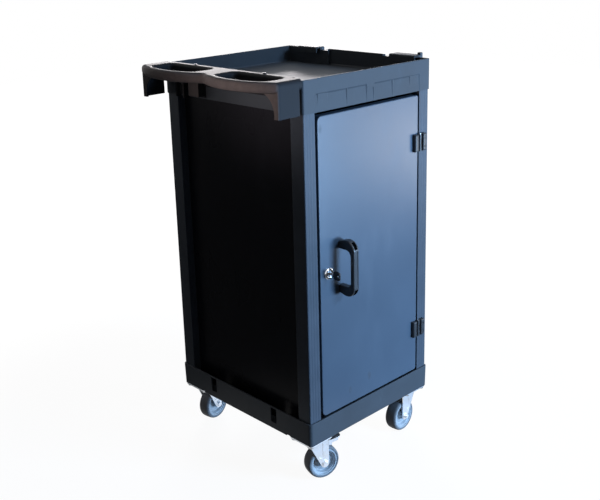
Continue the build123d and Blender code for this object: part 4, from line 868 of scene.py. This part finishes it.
@dataclass
class Studio:
    """White floor, white surround, soft lamps and the camera."""

    floor_half: float = 6.0
    ambient: Colour = (0.02, 0.019, 0.022)
    floor_glow: float = 0.89
    floor_lit: float = 0.85
    floor_bounce: float = 0.12
    floor_white: float = 1.06
    floor_mirror: float = 0.1
    floor_near: float = 0.8
    mirror_fade: Pair = (0.3, 0.52)
    floor_fade: Pair = (0.7, 1.7)
    azimuth: float = -43.45
    elevation: float = 15.69
    roll: float = -1.61
    stand: Point = (-1.4583, -1.5204, 1.208)
    lens: float = 54.92
    sensor: float = 36.0
    shift: Pair = (0.0102, -0.0983)
    lamps: List[Lamp] = field(default_factory=lambda: [
        Lamp("front_box", (1.063, -2.45, 0.3), (0.063, -0.2, 0.5), (0.9, 0.6), 68.0, COOL_LIGHT),
        Lamp("high_box", (0.713, -2.2, 1.75), (-0.037, 0.1, 0.9), (0.8, 0.6), 30.0, COOL_LIGHT),
        Lamp("low_box", (1.863, -1.3, 0.3), (0.113, -0.2, 0.7), (0.9, 0.4), 9.0, WHITE_LIGHT),
        Lamp("back_box", (1.813, 2.1, 1.3), (0.013, 0.0, 0.92), (1.2, 0.4), 50.0, PALE_LIGHT),
        Lamp("left_box", (-2.3, -0.35, 0.72), (-0.237, -0.1, 0.92), (0.2, 0.1), 0.13, WARM_LIGHT, 12.0),
    ])

    @staticmethod
    def light(graph: Graph, kind: str, socket: str, value: Any) -> Term:
        """A shader with one of its sockets set.

        Args:
            graph: the node tree that it goes into.
            kind: the shader node's type.
            socket: name of the socket.
            value: its value.

        Returns:
            The shader's output.
        """
        return graph.term(graph.add(kind, None, {socket: value}))

    @staticmethod
    def mix(graph: Graph, factor: Term, first: Term, second: Term) -> Term:
        """The first shader where a factor is zero and the second where it is one."""
        return graph.term(graph.add("ShaderNodeMixShader", None, {0: factor, 1: first, 2: second}))

    def surround(self) -> None:
        """World that is white where it is seen and gives a low plain fill elsewhere."""
        world = bpy.data.worlds.new("surround")
        bpy.context.scene.world = world
        graph = Graph(world)
        white = self.light(graph, "ShaderNodeBackground", "Color", (1.0, 1.0, 1.0, 1.0))
        fill = self.light(graph, "ShaderNodeBackground", "Color", (*self.ambient, 1.0))
        mixed = self.mix(graph, Ray.among(graph, *Ray), fill, white)
        graph.add("ShaderNodeOutputWorld", None, {"Surface": mixed})

    def floor(self) -> None:
        """Floor that the camera sees as white with the cart's shadow on it.

        A mirroring surface sees it pale near the cart and dim further off, and it throws little light back.
        """
        h = self.floor_half
        mesh = bpy.data.meshes.new("floor")
        mesh.from_pydata([(-h, -h, 0), (h, -h, 0), (h, h, 0), (-h, h, 0)], [], [(0, 1, 2, 3)])
        floor = bpy.data.objects.new("floor", mesh)
        bpy.context.scene.collection.objects.link(floor)
        material = bpy.data.materials.new("floor_white")
        graph = Graph(material)
        reach = graph.term(graph.add("ShaderNodeVectorMath", {"operation": "LENGTH"}, {0: graph.place()}),
                           "Value")
        lit, dim = (self.light(graph, "ShaderNodeBsdfDiffuse", "Color", (grey, grey, grey, 1.0))
                    for grey in (self.floor_lit, self.floor_bounce))
        white, near, away = (self.light(graph, "ShaderNodeEmission", "Strength", strength)
                             for strength in (self.floor_white, self.floor_near, self.floor_mirror))
        glow = self.floor_glow + (1 - self.floor_glow) * reach.above(*self.floor_fade)
        shown = self.mix(graph, glow, lit, white)
        mirrored_floor = self.mix(graph, reach.above(*self.mirror_fade), near, away)
        other = self.mix(graph, Ray.among(graph, Ray.MIRROR), dim, mirrored_floor)
        mixed = self.mix(graph, Ray.among(graph, Ray.CAMERA, Ray.GLASS), other, shown)
        graph.add("ShaderNodeOutputMaterial", None, {"Surface": mixed})
        mesh.materials.append(material)

    def camera(self) -> None:
        """Camera at the photograph's place, turned by its azimuth, elevation and roll."""
        low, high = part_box("top_tray")
        centre = (low + high) / 2
        a, e, r = (math.radians(v) for v in (self.azimuth, self.elevation, self.roll))
        back = Vector((math.sin(a) * math.cos(e), -math.cos(a) * math.cos(e), math.sin(e)))
        right = (-back).cross(Vector(UPWARDS)).normalized()
        up = right.cross(-back)
        across = math.cos(r) * right + math.sin(r) * up
        upright = math.cos(r) * up - math.sin(r) * right
        data = bpy.data.cameras.new("camera")
        data.lens = self.lens
        data.sensor_width = self.sensor
        data.shift_x, data.shift_y = self.shift
        camera = bpy.data.objects.new("camera", data)
        turn = Matrix((across, upright, back)).transposed().to_4x4()
        place = Vector((centre.x + self.stand[0], centre.y + self.stand[1], self.stand[2]))
        camera.matrix_world = Matrix.Translation(place) @ turn
        bpy.context.scene.collection.objects.link(camera)
        bpy.context.scene.camera = camera

    def build(self) -> None:
        """Set up the surround, the floor, the lamps and the camera."""
        bpy.context.scene.view_settings.view_transform = "Standard"
        self.surround()
        self.floor()
        for lamp in self.lamps:
            lamp.build()
        self.camera()


def main() -> None:
    """Build every sub-assembly and the studio."""
    logging.basicConfig(level=logging.INFO, format="%(name)s %(message)s")
    Cabinet().build()
    Door().build()
    for corner in Corner:
        Caster(corner, braked=corner in (Corner.FRONT_LEFT, Corner.BACK_LEFT)).build()
    Studio().build()


if __name__ == "__main__":
    main()
